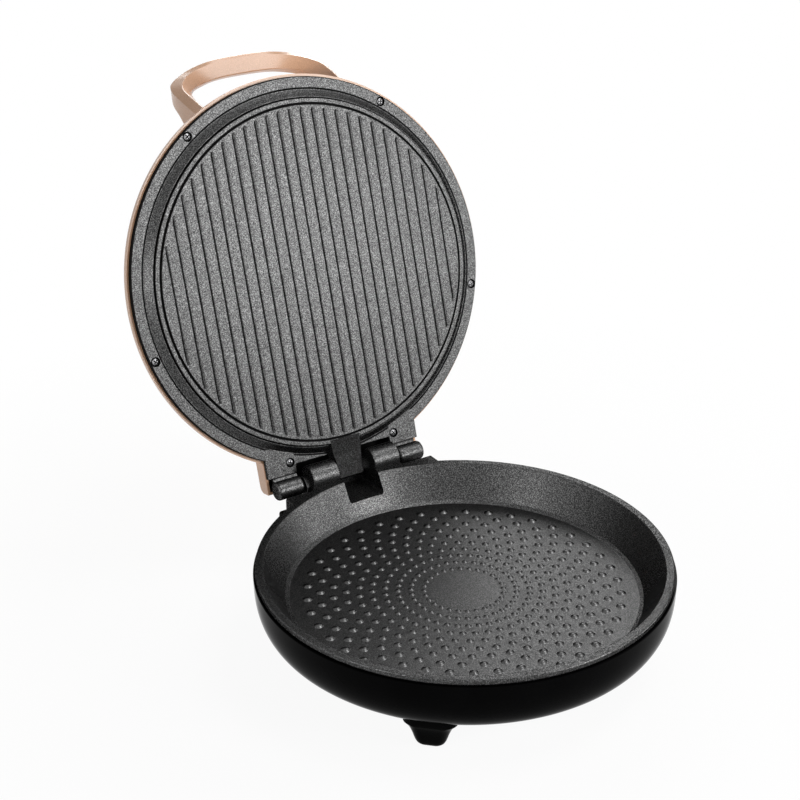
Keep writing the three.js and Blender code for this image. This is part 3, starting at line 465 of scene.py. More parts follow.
def barrel(radius, x0, x1, y, z, end, segments):
    """Cylinder along x with rounded ends."""
    form = lathe(rounded(oblong(0, radius, x0, x1), [0, end, end, 0], 4), segments)
    bmesh.ops.rotate(form, cent=(0, 0, 0), matrix=Matrix.Rotation(TURN / 4, 3, "Y"),
                     verts=form.verts)
    bmesh.ops.translate(form, vec=(0, y, z), verts=form.verts)
    return form


def moved(form, matrix):
    form.transform(matrix)
    return form


def mirrored(form):
    """The form and its mirror image in x."""
    twin = form.copy()
    bmesh.ops.scale(twin, vec=(-1, 1, 1), verts=twin.verts)
    bmesh.ops.reverse_faces(twin, faces=twin.faces)
    return [form, twin]


def gathered(forms):
    """Several forms in one, without joining their skins."""
    whole = bmesh.new()
    for form in forms:
        mesh = bpy.data.meshes.new("part")
        form.to_mesh(mesh)
        form.free()
        whole.from_mesh(mesh)
        bpy.data.meshes.remove(mesh)
    return whole


def placed(name, data):
    """New object in the scene."""
    obj = bpy.data.objects.new(name, data)
    bpy.context.scene.collection.objects.link(obj)
    return obj


def meshed(name, form):
    """New object in the scene from a bmesh, which is used up."""
    obj = placed(name, bpy.data.meshes.new(name))
    form.to_mesh(obj.data)
    form.free()
    return obj


def worked(form, operation, tools):
    """The form after one boolean with each of the tools in turn."""
    body = meshed("body", form)
    extra = [meshed("tool", tool) for tool in tools]
    for other in extra:
        step = body.modifiers.new("boolean", "BOOLEAN")
        step.operation = operation
        step.solver = "MANIFOLD"
        step.object = other
    graph = bpy.context.evaluated_depsgraph_get()
    mesh = bpy.data.meshes.new_from_object(body.evaluated_get(graph))
    result = bmesh.new()
    result.from_mesh(mesh)
    bpy.data.meshes.remove(mesh)
    for item in [body, *extra]:
        data = item.data
        bpy.data.objects.remove(item)
        bpy.data.meshes.remove(data)
    return result


def joined(form, tools):
    return worked(form, "UNION", tools)


def cut(form, tools):
    return worked(form, "DIFFERENCE", tools)


def piece(name, form, matrix, body, material, replaces=(), weighted=True, linings=()):
    """The form as an object of the model, riding on a body; linings are its further materials."""
    obj = meshed(name, moved(form, matrix))
    obj.data.shade_smooth()
    obj.data.set_sharp_from_angle(angle=SHARP)
    for used in (material, *linings):
        obj.data.materials.append(used)
    if weighted:
        even = obj.modifiers.new("even_normals", "WEIGHTED_NORMAL")
        even.keep_sharp = True
    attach(obj, body)
    if replaces:
        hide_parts(*replaces)


# Materials
def add_node(tree, kind, *inputs, **values):
    """New shader node; inputs fill its sockets in order, values sockets or settings by name."""
    node = tree.nodes.new("ShaderNode" + kind)
    sockets = list(zip(node.inputs, inputs))
    for key, value in values.items():
        socket = node.inputs.get(key.replace("_", " "))
        if socket is None:
            setattr(node, key, value)
        else:
            sockets.append((socket, value))
    for socket, value in sockets:
        if isinstance(value, bpy.types.NodeSocket):
            tree.links.new(value, socket)
        else:
            socket.default_value = value
    return node


def tree_of(data):
    data.use_nodes = True
    return data.node_tree


class Nodes:
    """Short way to write a material's nodes."""

    def __init__(self, name, **settings):
        self.material = bpy.data.materials.new(name)
        self.tree = tree_of(self.material)
        self.shader = self.tree.nodes["Principled BSDF"]
        for socket, value in settings.items():
            self.shader.inputs[socket.replace("_", " ")].default_value = value
        self.place = self.add("TexCoord").outputs["Object"]

    def add(self, kind, *inputs, **values):
        return add_node(self.tree, kind, *inputs, **values)

    def noise(self, size_mm, detail=2.0, roughness=0.5):
        node = self.add("TexNoise", Vector=self.place, Scale=1 / (size_mm * MM),
                        Detail=detail, Roughness=roughness)
        return node.outputs["Fac"]

    def ramp(self, factor, stops):
        node = self.add("ValToRGB", Fac=factor)
        elements = node.color_ramp.elements
        while len(elements) < len(stops):
            elements.new(0.5)
        for element, (position, colour) in zip(elements, stops):
            element.position = position
            element.color = (*colour, 1)
        return node.outputs["Color"]

    def span(self, factor, low, high, start=0.0, end=1.0):
        return self.add("MapRange", factor, start, end, low, high).outputs["Result"]

    def bump(self, height, strength, depth_mm):
        node = self.add("Bump", Height=height, Strength=strength, Distance=depth_mm * MM)
        return node.outputs["Normal"]

    def finish(self, colour, roughness, normal):
        fed = {"Base Color": colour, "Roughness": roughness, "Normal": normal}
        for socket, output in fed.items():
            self.tree.links.new(output, self.shader.inputs[socket])
        return self.material


def grey(value):
    return (value, value, value)


def non_stick_coating(name, level, grain_mm=0.8, fleck=1.0, rough=(0.36, 0.44)):
    """Dark metallic coating with fine pale and dark flecks over a slightly rough casting."""
    m = Nodes(name, Metallic=1.0, Specular_Tint=(*grey(0.15), 1))
    grain = m.noise(grain_mm, 2.0, 0.6)
    middle = 0.06
    stops = ((0.36, 0.018), (0.46, 0.043), (0.54, 0.069), (0.64, 0.155))
    colours = [(at, grey(level * (middle + fleck * (value - middle)))) for at, value in stops]
    return m.finish(m.ramp(grain, colours), m.span(m.noise(4.0), *rough),
                    m.bump(grain, 0.3 * fleck, 0.06))


def gloss_black():
    """Black moulding with a high polish, a faint haze and slow ripples from the mould."""
    m = Nodes("gloss_black_shell", Specular_IOR_Level=0.015)
    colour = m.ramp(m.noise(25.0), [
        (0.3, (0.0012, 0.0012, 0.0013)), (0.7, (0.0020, 0.0020, 0.0021))])
    return m.finish(colour, m.span(m.noise(9.0, 3.0), 0.05, 0.10, 0.3, 0.7),
                    m.bump(m.noise(40.0, 1.0), 0.03, 0.4))


def rose_gold():
    """Pale copper lacquer with fine metallic flake under a soft clear coat."""
    m = Nodes("rose_gold_lacquer", Specular_IOR_Level=0.1, Coat_Weight=0.9, Coat_Roughness=0.25)
    flake = m.noise(0.45, 2.0, 0.6)
    colour = m.ramp(flake, [
        (0.35, (0.54, 0.315, 0.190)), (0.5, (0.62, 0.368, 0.228)), (0.65, (0.71, 0.430, 0.275))])
    return m.finish(colour, m.span(m.noise(3.0), 0.30, 0.40), m.bump(flake, 0.12, 0.02))


def plain_metal(name, dark, light, rough, size_mm):
    """Worked metal: colour and polish vary a little over marks of the given size."""
    m = Nodes(name, Metallic=1.0)
    marks = m.noise(size_mm, 4.0, 0.6)
    return m.finish(m.ramp(marks, [(0.3, dark), (0.7, light)]), m.span(marks, *rough, 0.3, 0.7),
                    m.bump(marks, 0.15, 0.03))


def moulded(name, dark, light, rough, grain_mm, depth=0.03, shine=0.5):
    """Moulded plastic, rubber or ceramic with a fine grain."""
    m = Nodes(name, Specular_IOR_Level=shine)
    grain = m.noise(grain_mm, 2.0)
    return m.finish(m.ramp(m.noise(grain_mm * 12), [(0.3, dark), (0.7, light)]),
                    m.span(grain, *rough, 0.3, 0.7), m.bump(grain, 0.35, depth))


COATING = non_stick_coating("non_stick_coating", 0.93)
# Darker copy of the coating: painted shade on the wire tongue.
TONGUE_SHADE_COATING = non_stick_coating("tongue_painted_shade_coating", 0.15)
FINE_COATING = non_stick_coating("fine_coating", 1.05, 0.7, 0.7)
# Glossier copy of the coating for the floor bumps, also paler, which paints highlights on them.
BUMP_HIGHLIGHT_COATING = non_stick_coating("polished_bump_painted_highlight_coating", 1.25, 0.6, 0.45, (0.27, 0.33))
# Near-black painted shade, laid in grooves, recesses, edge lines and the lid's inside where shade
# falls.
PAINTED_SHADE = moulded("painted_shade_lining", grey(0.002), grey(0.004), (0.6, 0.7), 1.0, shine=0.05)
GLOSS = gloss_black()
GOLD = rose_gold()
STEEL = plain_metal("zinc_steel", (0.24, 0.24, 0.245), (0.36, 0.36, 0.37), (0.30, 0.42), 1.2)
REFLECTOR = plain_metal("rolled_aluminium", (0.52, 0.52, 0.53), (0.66, 0.66, 0.67), (0.25, 0.4),
                        3.0)
SHEATH = plain_metal("oxidised_sheath", (0.10, 0.11, 0.09), (0.20, 0.20, 0.17), (0.42, 0.6), 2.0)
BRASS = plain_metal("plated_brass", (0.50, 0.36, 0.14), (0.66, 0.49, 0.22), (0.2, 0.32), 1.5)
PLASTIC = moulded("matt_black_plastic", (0.010, 0.010, 0.011), (0.016, 0.016, 0.017),
                  (0.42, 0.58), 0.6)
RUBBER = moulded("black_rubber", (0.011, 0.011, 0.011), (0.020, 0.020, 0.019), (0.75, 0.9), 0.8)
CERAMIC = moulded("unglazed_ceramic", (0.66, 0.63, 0.56), (0.78, 0.75, 0.68), (0.55, 0.7), 0.5)
AMBER = moulded("amber_lens", (0.55, 0.10, 0.015), (0.70, 0.16, 0.03), (0.10, 0.18), 0.9, 0.01)


# Lower tray
def pan_wall_radius(z):
    """Radius of the pan's inner wall at a height."""
    z0 = PAN_FLOOR_Z + PAN_CHAMFER_RISE
    r0 = PAN_FLOOR + PAN_CHAMFER_RUN
    return r0 + (z - z0) * (PAN_MOUTH - r0) / -z0


def bump_form(radius, height):
    """Low dome that meets the floor in a small fillet."""
    outline = [(radius * out, height * up) for out, up in BUMP_OUTLINE]
    return lathe([(radius * BUMP_SKIRT, -FIT), *outline], BUMP_SIDES)


def floor_bumps():
    """Rings of bumps that grow outwards, each full ring staggered to the next."""
    bumps = []
    for ring in range(BUMP_RINGS):
        share = ring / (BUMP_RINGS - 1)
        radius = BUMP_FIRST + ring * BUMP_PITCH
        count = BUMP_INNER_COUNTS[ring] if ring < len(BUMP_INNER_COUNTS) else BUMP_COUNT
        size, height = (a + share * (b - a) for a, b in (BUMP_SIZES, BUMP_HEIGHTS))
        start = BUMP_SECOND_START if ring == 1 else BUMP_START + (ring % 2) / (2 * count)
        for i in range(count):
            angle = TURN * (start + i / count)
            form = bump_form(size, height)
            bumps.append(moved(form, shift(radius * cos(angle), radius * sin(angle), PAN_FLOOR_Z)))
    return gathered(bumps)


def notch_tool():
    """Room for the tongue through the rim and the hinge block."""
    outline = rounded(oblong(-NOTCH_HALF, NOTCH_HALF, OVERRUN, -NOTCH_DEPTH),
                      [0, 0, NOTCH_CORNER, NOTCH_CORNER], 6, True)
    ends = (NOTCH_FRONT, CHANNEL_REAR - CHANNEL_WALL)
    return loft([[(x, y, z) for x, z in outline] for y in ends])


def pan_tray():
    """Pan with its flange, hinge block, knuckles and the channel behind its notch."""
    outer = PAN_WALL * PAN_WALL_SLANT
    profile = [
        (0, PAN_UNDER_Z), (PAN_FLOOR, PAN_UNDER_Z),
        (pan_wall_radius(PAN_UNDER_Z + PAN_WALL) + outer, PAN_UNDER_Z + PAN_WALL),
        (pan_wall_radius(-NECK_DEPTH) + outer, -NECK_DEPTH), (NECK, -NECK_DEPTH),
        (NECK, -FLANGE), (PAN_RIM, -FLANGE), (PAN_RIM, 0), (0, 0)]
    body = lathe(rounded(profile, PAN_OUTER_CORNERS))
    hollow = [(0, PAN_FLOOR_Z), (PAN_FLOOR, PAN_FLOOR_Z),
              (PAN_FLOOR + PAN_CHAMFER_RUN, PAN_FLOOR_Z + PAN_CHAMFER_RISE), (PAN_MOUTH, 0),
              (PAN_MOUTH + PAN_SHOULDER, 0), (PAN_MOUTH + PAN_SHOULDER, OVERRUN), (0, OVERRUN)]
    cavity = lathe(rounded(hollow, PAN_INNER_CORNERS))
    side = [(BLOCK_FRONT, 0), (BLOCK_REAR, 0), (BLOCK_REAR, BLOCK_CHAMFER - BLOCK_DEPTH),
            (BLOCK_REAR - BLOCK_CHAMFER, -BLOCK_DEPTH), (BLOCK_FRONT, -BLOCK_DEPTH)]
    side = rounded(side, BLOCK_CORNERS, 4, True)
    hinge_block = carried(side, -BLOCK_HALF, BLOCK_HALF, BLOCK_EDGE)
    channel = block(-KNUCKLE_INNER - FIT, KNUCKLE_INNER + FIT, BLOCK_FRONT, CHANNEL_REAR,
                    -BLOCK_DEPTH, -CHANNEL_DROP)
    parts = [hinge_block, channel]
    for form in knuckle_forms():
        parts += mirrored(form)
    tray = cut(joined(body, parts), [cavity, notch_tool()])
    for face in tray.faces:
        place = face.calc_center_median()
        on_floor = abs(place.z - PAN_FLOOR_Z) < FIT and hypot(place.x, place.y) < PAN_FLOOR
        face.material_index = 1 if on_floor else 0
    return tray


def knuckle_forms():
    """Right-hand knuckle, its web and the collar round the hinge pin."""
    knuckle_y, knuckle_z = HINGE_Y - KNUCKLE_FORWARD, HINGE_Z + KNUCKLE_RISE
    web_side = [(BLOCK_FRONT, 0), (knuckle_y - KNUCKLE + WEB_INSET, 0), (knuckle_y, knuckle_z),
                (HINGE_Y, HINGE_Z), (HINGE_Y + HINGE_Z, HINGE_Z - KNUCKLE_COLLAR + WEB_INSET),
                (BLOCK_REAR, -BLOCK_DEPTH), (BLOCK_FRONT, -BLOCK_DEPTH)]
    web = carried(web_side, KNUCKLE_INNER, KNUCKLE_SHOULDER)
    knuckle = barrel(KNUCKLE, KNUCKLE_INNER - FIT / 2, KNUCKLE_SHOULDER + FIT / 2,
                     knuckle_y, knuckle_z, KNUCKLE_END, KNUCKLE_SIDES)
    collar = barrel(KNUCKLE_COLLAR, KNUCKLE_INNER - FIT / 3, KNUCKLE_OUTER + FIT / 3,
                    HINGE_Y, HINGE_Z, COLLAR_END, COLLAR_SIDES)
    return web, knuckle, collar


piece("pan_tray", pan_tray(), BASE, "base", COATING, ["lower_tray"],
      linings=[FINE_COATING])
piece("pan_floor_bumps", floor_bumps(), BASE, "base", BUMP_HIGHLIGHT_COATING, weighted=False)


# Base shell
def bowl_curve(inset_by, steps):
    """Superellipse from the lip down and in to the flat bottom."""
    points = []
    reach = SHELL_LIP - SHELL_BOTTOM
    for step in range(steps + 1):
        angle = TURN / 4 * step / steps
        out = max(cos(angle), 0) ** SHELL_SHARE
        down = sin(angle) ** SHELL_SHARE
        points.append((SHELL_BOTTOM - inset_by / 2 + (reach - inset_by / 2) * out,
                       -SHELL_LIP_DROP - (SHELL_DEPTH - inset_by) * down))
    return points


def foot_places():
    """Name and placing matrix of each leg."""
    for name, degrees in (("front_left", 180 + FRONT_FOOT), ("front_right", 180 - FRONT_FOOT),
                          ("rear_left", -REAR_FOOT), ("rear_right", REAR_FOOT)):
        angle = radians(degrees)
        x, y = FOOT_RADIUS * sin(angle), FOOT_RADIUS * cos(angle)
        yield name, shift(x, y, 0) @ turn(-angle, "Z")


# Share of the leg's height, of its full section, and of the way from tip to root
FOOT_LEVELS = ((0.0, 0.62, 0.0), (0.025, 0.72, 0.0), (0.07, 0.82, 0.0), (0.12, 0.9, 0.01),
               (0.18, 0.95, 0.02), (0.26, 0.985, 0.05), (0.35, 1, 0.1), (0.55, 1, 0.24),
               (0.75, 1, 0.42), (0.9, 1, 0.6), (1.0, 1, 0.78), (1.1, 1, 1), (1.4, 1, 1))


def foot():
    """Leg from its rounded tip to its flared root, as one smooth loft."""
    rings = []
    for height, size, flare in FOOT_LEVELS:
        half_x, half_y = (size * (tip + flare * (root - tip))
                          for tip, root in zip(FOOT_TIP, FOOT_ROOT))
        z = FOOT_BOTTOM_Z + height * FOOT_HEIGHT
        plan = pill(half_x, half_y, FOOT_CORNER * min(half_x, half_y))
        rings.append([(x, y, z) for x, y in plan])
    return loft(rings)


def base_bowl():
    """Bowl with its rear hinge housing and four legs, hollow inside."""
    outer = bowl_curve(0, SHELL_STEPS)
    inner = bowl_curve(SHELL_WALL, SHELL_INNER_STEPS)
    floor_z = SHELL_BOTTOM_Z + SHELL_WALL
    body = lathe([(0, -SHELL_LIP_DROP), (outer[0][0] - SHELL_EDGE, -SHELL_LIP_DROP),
                  (outer[0][0], -SHELL_LIP_DROP - SHELL_EDGE), *outer[1:], (0, SHELL_BOTTOM_Z)])
    side = [(HOUSING_FRONT, -HOUSING_TOP), (HOUSING_REAR, -HOUSING_TOP),
            (HOUSING_REAR, -HOUSING_BOTTOM), (HOUSING_REAR - HOUSING_RAMP, floor_z),
            (HOUSING_FRONT, floor_z)]
    side = rounded(side, HOUSING_CORNERS, 5, True)
    housing = carried(side, -HOUSING_HALF, HOUSING_HALF, HOUSING_EDGE)
    feet = [moved(foot(), matrix) for _, matrix in foot_places()]
    hollow = lathe([(0, OVERRUN), (inner[0][0], OVERRUN), *inner, (0, floor_z)])
    return cut(joined(body, [housing, *feet]), [hollow, *base_holes(floor_z)])


def base_holes(floor_z):
    """Everything cut from the base shell but its bowl's hollow."""
    wall, rear = SHELL_WALL, HOUSING_REAR
    front, top = HOUSING_FRONT - OVERRUN, -HOUSING_TOP - wall
    room = carried([(front, top), (rear - wall, top), (rear - wall, -HOUSING_BOTTOM + wall),
                    (rear - HOUSING_RAMP, floor_z + wall), (front, floor_z + wall)],
                   -HOUSING_HALF + wall, HOUSING_HALF - wall)
    block_room = block(-BLOCK_HALF - FIT, BLOCK_HALF + FIT, BLOCK_FRONT - PAN_RIM_WIDTH,
                       HINGE_Y + KNUCKLE, -BLOCK_DEPTH - FIT, OVERRUN)
    mouth = pill(INLET_WIDTH / 2 + FIT, INLET_HEIGHT / 2 + FIT, INLET_WALL)
    inlet = loft([[(x, y, z - INLET_DROP) for x, z in mouth]
                  for y in (rear - INLET_CUT, rear + INLET_CUT)])
    holes = [room, block_room, inlet]
    for x, y in base_screw_places():
        holes.append(upright(SEAT, x, y, SHELL_BOTTOM_Z - OVERRUN, SHELL_BOTTOM_Z + SEAT_DEPTH))
    for _, matrix in foot_places():
        seat = upright(PAD + FIT, 0, 0, FOOT_BOTTOM_Z - OVERRUN,
                       FOOT_BOTTOM_Z + PAD_HEIGHT - PAD_PROUD + FIT)
        holes.append(moved(seat, matrix))
    for i in range(VENT_COUNT):
        slot = raised(pill(VENT_LENGTH / 2, VENT_WIDTH / 2, VENT_WIDTH / 2),
                      SHELL_BOTTOM_Z - OVERRUN, floor_z + OVERRUN)
        holes.append(moved(slot, turn(TURN * i / VENT_COUNT, "Z") @ shift(VENT_RADIUS, 0, 0)))
    return holes


def base_screw_places():
    return [(BASE_SCREW_RADIUS * cos(angle), BASE_SCREW_RADIUS * sin(angle))
            for angle in map(radians, BASE_SCREW_DEGREES)]


piece("base_bowl", base_bowl(), BASE, "base", GLOSS, ["base_shell"])

for foot_name, foot_matrix in foot_places():
    z0 = FOOT_BOTTOM_Z - PAD_PROUD
    z1, dimple_z = z0 + PAD_HEIGHT, z0 + PAD_DIMPLE_DEPTH
    outline = [(0, dimple_z), (PAD_DIMPLE[0], dimple_z), (PAD_DIMPLE[1], z0), (PAD, z0), (PAD, z1),
               (0, z1)]
    pad = lathe(rounded(outline, PAD_CORNERS, 3), FINE)
    piece(f"rubber_pad_{foot_name}", moved(pad, foot_matrix), BASE, "base", RUBBER,
          [f"foot_pad_{foot_name}"])


# Lid plate
def lid_plate_profile():
    """Half section of the disc, its groove, the ring, the trench, the slope and the rim."""
    ring_inner = DISC + GROOVE_WIDTH
    trench_outer = RING + TRENCH_WIDTH
    rim_inner = LID_RIM - LID_RIM_WIDTH
    points = [
        (0, -DISC_DROP), (DISC, -DISC_DROP), (DISC, GROOVE_DEPTH - DISC_DROP),
        (ring_inner, GROOVE_DEPTH - DISC_DROP), (ring_inner, -RING_DROP), (RING, -RING_DROP),
        (RING, -TRENCH_DROP), (trench_outer, -TRENCH_DROP), (trench_outer, -SLOPE_DROP),
        SLOPE_MIDDLE, SLOPE_TOP, (rim_inner, 0), (LID_RIM, 0), (LID_RIM, LID_SIDE),
        (rim_inner - LID_BACK_INSET, LID_SIDE), (trench_outer, LID_SIDE - SLOPE_DROP),
        (DISC, DISC_THICKNESS - DISC_DROP), (0, DISC_THICKNESS - DISC_DROP)]
    return rounded(points, LID_CORNERS, 4)


def rib_places():
    return [(i - (RIB_COUNT - 1) / 2) * RIB_PITCH for i in range(RIB_COUNT)]


def half_chord(x):
    return sqrt(RIB_END ** 2 - x ** 2)


def rib_grooves():
    """Narrow groove along the left flank of each rib; its walls get painted shade, a dark line
    beside each rib.
    """
    grooves = []
    for middle in rib_places():
        x = middle - RIB_WIDTH / 2
        half = half_chord(x) - RIB_WIDTH / 2
        grooves.append(block(x - RIB_GROOVE, x + FIT / 2, -half, half,
                             -DISC_DROP - OVERRUN, RIB_GROOVE_DEPTH - DISC_DROP))
    return grooves


def lid_ribs():
    """Raised round-ended ribs across the disc, each as long as its chord allows."""
    ribs = []
    for x in rib_places():
        half = half_chord(x)
        rings = []
        for level in range(RIB_STEPS + 1):
            angle = TURN / 4 * level / RIB_STEPS
            width = RIB_TOP / 2 + (RIB_WIDTH - RIB_TOP) / 2 * cos(angle)
            z = -DISC_DROP - RIB_HEIGHT * sin(angle)
            plan = pill(width, half - RIB_WIDTH / 2 + width, width, RIB_END_STEPS)
            rings.append([(x + px, py, z) for px, py in plan])
        first = [(px, py, -DISC_DROP + FIT) for px, py, _ in rings[0]]
        ribs.append(loft([first, *rings]))
    return gathered(ribs)


def lid_screw_places():
    places = [(side * LID_SCREW_RADIUS * sin(angle), -LID_SCREW_RADIUS * cos(angle))
              for angle in map(radians, LID_SCREW_DEGREES) for side in (-1, 1)]
    return places + [(-EAR_SCREW[0], EAR_SCREW[1]), EAR_SCREW]


# Bend of the tongue: where, how much wider, and how far its underside and back drop
TONGUE_BEND = ((-3, 0.5, 0.2, 1), (0, 0, 0.5, 0), (3, -0.5, 0.9, 0.6))


def tongue():
    """Wire tongue: flat from the disc's edge, then tapering down to its light tip."""
    def ring(y, half, z0, z1):
        corners = rounded(oblong(-half, half, z0, z1), [TONGUE_EDGE] * 4, 3, True)
        return [(x, y, z) for x, z in corners]
    middle = (TONGUE_HALF + TONGUE_TIP_HALF) / 2
    tip_top = TONGUE_TIP_THICKNESS - TONGUE_TIP_DROP
    bend = [ring(TONGUE_BEND_Y + along, middle + wider, -RING_DROP - under, LID_SIDE - back)
            for along, wider, under, back in TONGUE_BEND]
    return loft([
        ring(DISC + GROOVE_WIDTH, TONGUE_HALF, -RING_DROP, DISC_THICKNESS - DISC_DROP), *bend,
        ring(TONGUE_TIP_Y - TONGUE_END, TONGUE_TIP_HALF, -TONGUE_TIP_DROP, tip_top),
        ring(TONGUE_TIP_Y, TONGUE_TIP_HALF - TONGUE_EDGE, TONGUE_EDGE - TONGUE_TIP_DROP,
             tip_top - TONGUE_EDGE)])


def lid_plate():
    """Plate with its hinge ears, barrels, tongue, screw seats and rib grooves."""
    axis_z = HINGE_Z - LID_GAP
    barrel_y = HINGE_Y - LID_SETBACK - BARREL_FORWARD
    ear = block(EAR_INNER, EAR_HALF, EAR_FRONT, EAR_REAR, 0, LID_SIDE, EAR_EDGE)
    roll = barrel(BARREL, BARREL_INNER, BARREL_OUTER, barrel_y, axis_z, BARREL_END, KNUCKLE_SIDES)
    back = LID_SIDE - FIT / 2
    web = carried([(EAR_REAR - WEB_INSET, LID_SIDE / 2), (barrel_y, axis_z),
                   (barrel_y + WEB_INSET, axis_z + BARREL - WEB_INSET),
                   (barrel_y - WEB_INSET, back), (EAR_REAR - WEB_INSET, back)],
                  BARREL_INNER, BARREL_OUTER - BARREL_END)
    plate = joined(lathe(lid_plate_profile()), mirrored(ear))
    pocket = block(-EAR_INNER, EAR_INNER, POCKET_FRONT, HINGE_Y + KNUCKLE, -LID_SIDE - DISC_DROP,
                   LID_SIDE + OVERRUN)
    plate = joined(cut(plate, [pocket]), [*mirrored(web), *mirrored(roll), tongue()])
    seats = [upright(SEAT, x, y, -OVERRUN, SEAT_DEPTH) for x, y in lid_screw_places()]
    return paint_groove_shade(cut(plate, seats + rib_grooves()))


# Limits that tell the walls of grooves, which get painted shade, from the flats round them
NEAR = FIT / 3
LIFT = 0.1
EDGE = 0.8
STEEP = 0.9
LINE_AREA = 12
GROOVE_SHARE = 1.2
RING_FACE = 0.4
TRENCH_FACE = 1.0
EDGE_START = 0.03
TONGUE_FACE = 0.2
PAINTED_SHADE_SLOT, TONGUE_SHADE_SLOT = 1, 2


def in_groove(place, steep, area):
    """Whether a face of the lid plate belongs to a groove, an edge line or a screw's seat, the
    places that get painted shade.
    """
    reach = hypot(place.x, place.y)
    if reach < DISC + GROOVE_WIDTH + NEAR:
        deepest = GROOVE_SHARE * GROOVE_DEPTH - DISC_DROP
        return (LIFT - DISC_DROP < place.z < deepest and steep
                or reach > DISC - NEAR and RING_FACE - RING_DROP < place.z < 0)
    if reach < RING + TRENCH_WIDTH + NEAR:
        return TRENCH_FACE - RING_DROP < place.z < 0 and reach > RING - NEAR
    # The rim's outer side wall and a thin line at the rim's inner edge are painted shade.
    turned_edge = (reach > LID_RIM - EDGE and place.y < EAR_FRONT
                   and EDGE_START < place.z < LID_SIDE)
    inwards = LID_RIM - LID_RIM_WIDTH - reach
    rim_line = LIFT < inwards < 2 * EDGE and place.z < 1 and area < LINE_AREA
    seat = any(hypot(place.x - x, place.y - y) < SEAT + LIFT
               and LIFT < place.z < SEAT_DEPTH + LIFT for x, y in lid_screw_places())
    return turned_edge or rim_line or seat


def paint_groove_shade(form):
    """Gives the grooves, edge lines and seats the second material, near-black painted shade, and
    the tongue the third, a darker copy of the coating that paints shade on it.
    """
    for face in form.faces:
        place = face.calc_center_median()
        dark = in_groove(place, abs(face.normal.z) < STEEP, face.calc_area())
        face.material_index = PAINTED_SHADE_SLOT if dark and place.y < EAR_REAR else 0
        # The wire tongue takes the darker copy of the coating: painted shade.
        if (abs(place.x) < TONGUE_HALF and place.y > DISC + GROOVE_WIDTH
                and place.z < TONGUE_FACE - SLOPE_DROP):
            face.material_index = TONGUE_SHADE_SLOT
    return form


piece("lid_plate", lid_plate(), LID, "lid", COATING, ["upper_tray"],
      linings=[PAINTED_SHADE, TONGUE_SHADE_COATING])
piece("lid_plate_ribs", lid_ribs(), LID, "lid", COATING, weighted=False)


# Screws
def screw_head():
    """Domed pan head, its seat at z = 0 and its crown below, with a cross recess."""
    profile = rounded([(0, HEAD_CROWN), (HEAD_TOP, HEAD_CROWN + HEAD_TOP_DROP),
                       (HEAD_EDGE, -HEAD_EDGE_RISE), (HEAD, -HEAD_SIDE), (HEAD, 0), (SHANK, 0),
                       (SHANK, SHANK_LENGTH), (0, SHANK_LENGTH)], HEAD_CORNERS, 3)
    top, bottom = HEAD_CROWN - OVERRUN, HEAD_CROWN + CROSS_DEPTH
    arms = [block(-x, x, -y, y, top, bottom)
            for x, y in ((CROSS_HALF, CROSS_ARM_HALF), (CROSS_ARM_HALF, CROSS_HALF))]
    recessed = cut(lathe(profile, FINE), arms)
    # Faces inside the cross recess get the second material, near-black painted shade.
    for face in recessed.faces:
        x, y, z = face.calc_center_median()
        across, along = sorted((abs(x), abs(y)))
        inside = along < CROSS_HALF + CROSS_NEAR and across < CROSS_ARM_HALF + CROSS_NEAR / 2
        deep = HEAD_CROWN + CROSS_RIM < z < bottom + CROSS_NEAR
        face.material_index = 1 if inside and deep else 0
    return recessed


for family, places, head_z, (first_turn, next_turn), matrix, body in (
        ("tray", lid_screw_places(), SEAT_DEPTH, LID_SCREW_TURN, LID, "lid"),
        ("base", base_screw_places(), SHELL_BOTTOM_Z + SEAT_DEPTH, BASE_SCREW_TURN, BASE, "base")):
    for number, (x, y) in enumerate(places, 1):
        name = f"{family}_screw_{number}"
        turned = radians(first_turn + next_turn * number)
        head = moved(screw_head(), shift(x, y, head_z - FIT / 2) @ turn(turned, "Z"))
        piece(f"{name}_cross", head, matrix, body, STEEL, [name], linings=[PAINTED_SHADE])


# Lid shell
def dome_curve(inset_by, shoulder_steps, crown_steps):
    """Radius and height from the lip over the shoulder to the crown."""
    points = [(DOME_LIP - inset_by, SHELL_LIP_Z)]
    shoulder = DOME_CORNER - inset_by
    cx, cz = DOME_LIP - DOME_CORNER, SHELL_LIP_Z + DOME_SIDE
    for i in range(shoulder_steps + 1):
        angle = DOME_SWEEP * i / shoulder_steps
        points.append((cx + shoulder * cos(angle), cz + shoulder * sin(angle)))
    crown, crown_z = dome_crown()
    crown -= inset_by
    for i in range(1, crown_steps + 1):
        angle = radians(DOME_SLOPE) * (1 - i / crown_steps)
        points.append((crown * sin(angle), crown_z + crown * cos(angle)))
    return points


def dome_crown():
    """Radius of the crown's arc and the height of its centre."""
    slope = radians(DOME_SLOPE)
    radius = (DOME_LIP - DOME_CORNER + DOME_CORNER * cos(DOME_SWEEP)) / sin(slope)
    return radius, SHELL_LIP_Z + DOME_SIDE + DOME_CORNER * sin(DOME_SWEEP) - radius * cos(slope)


def dome_height(r):
    """Height of the dome's outside at a radius."""
    radius, centre = dome_crown()
    return centre + sqrt(radius ** 2 - r ** 2)


def skirt(inset_by, bottom, bevel):
    """Block behind the dome that covers the hinge, its rear edge rounded."""
    top = LID_SIDE + SKIRT_HEIGHT - inset_by
    rear = SKIRT_REAR - inset_by
    outline = rounded(oblong(SKIRT_FRONT, rear, bottom, top),
                      [0, 0, SKIRT_CORNER - inset_by / 2, 0], 12, True)
    return carried(outline, inset_by - SKIRT_HALF, SKIRT_HALF - inset_by, bevel, 5)


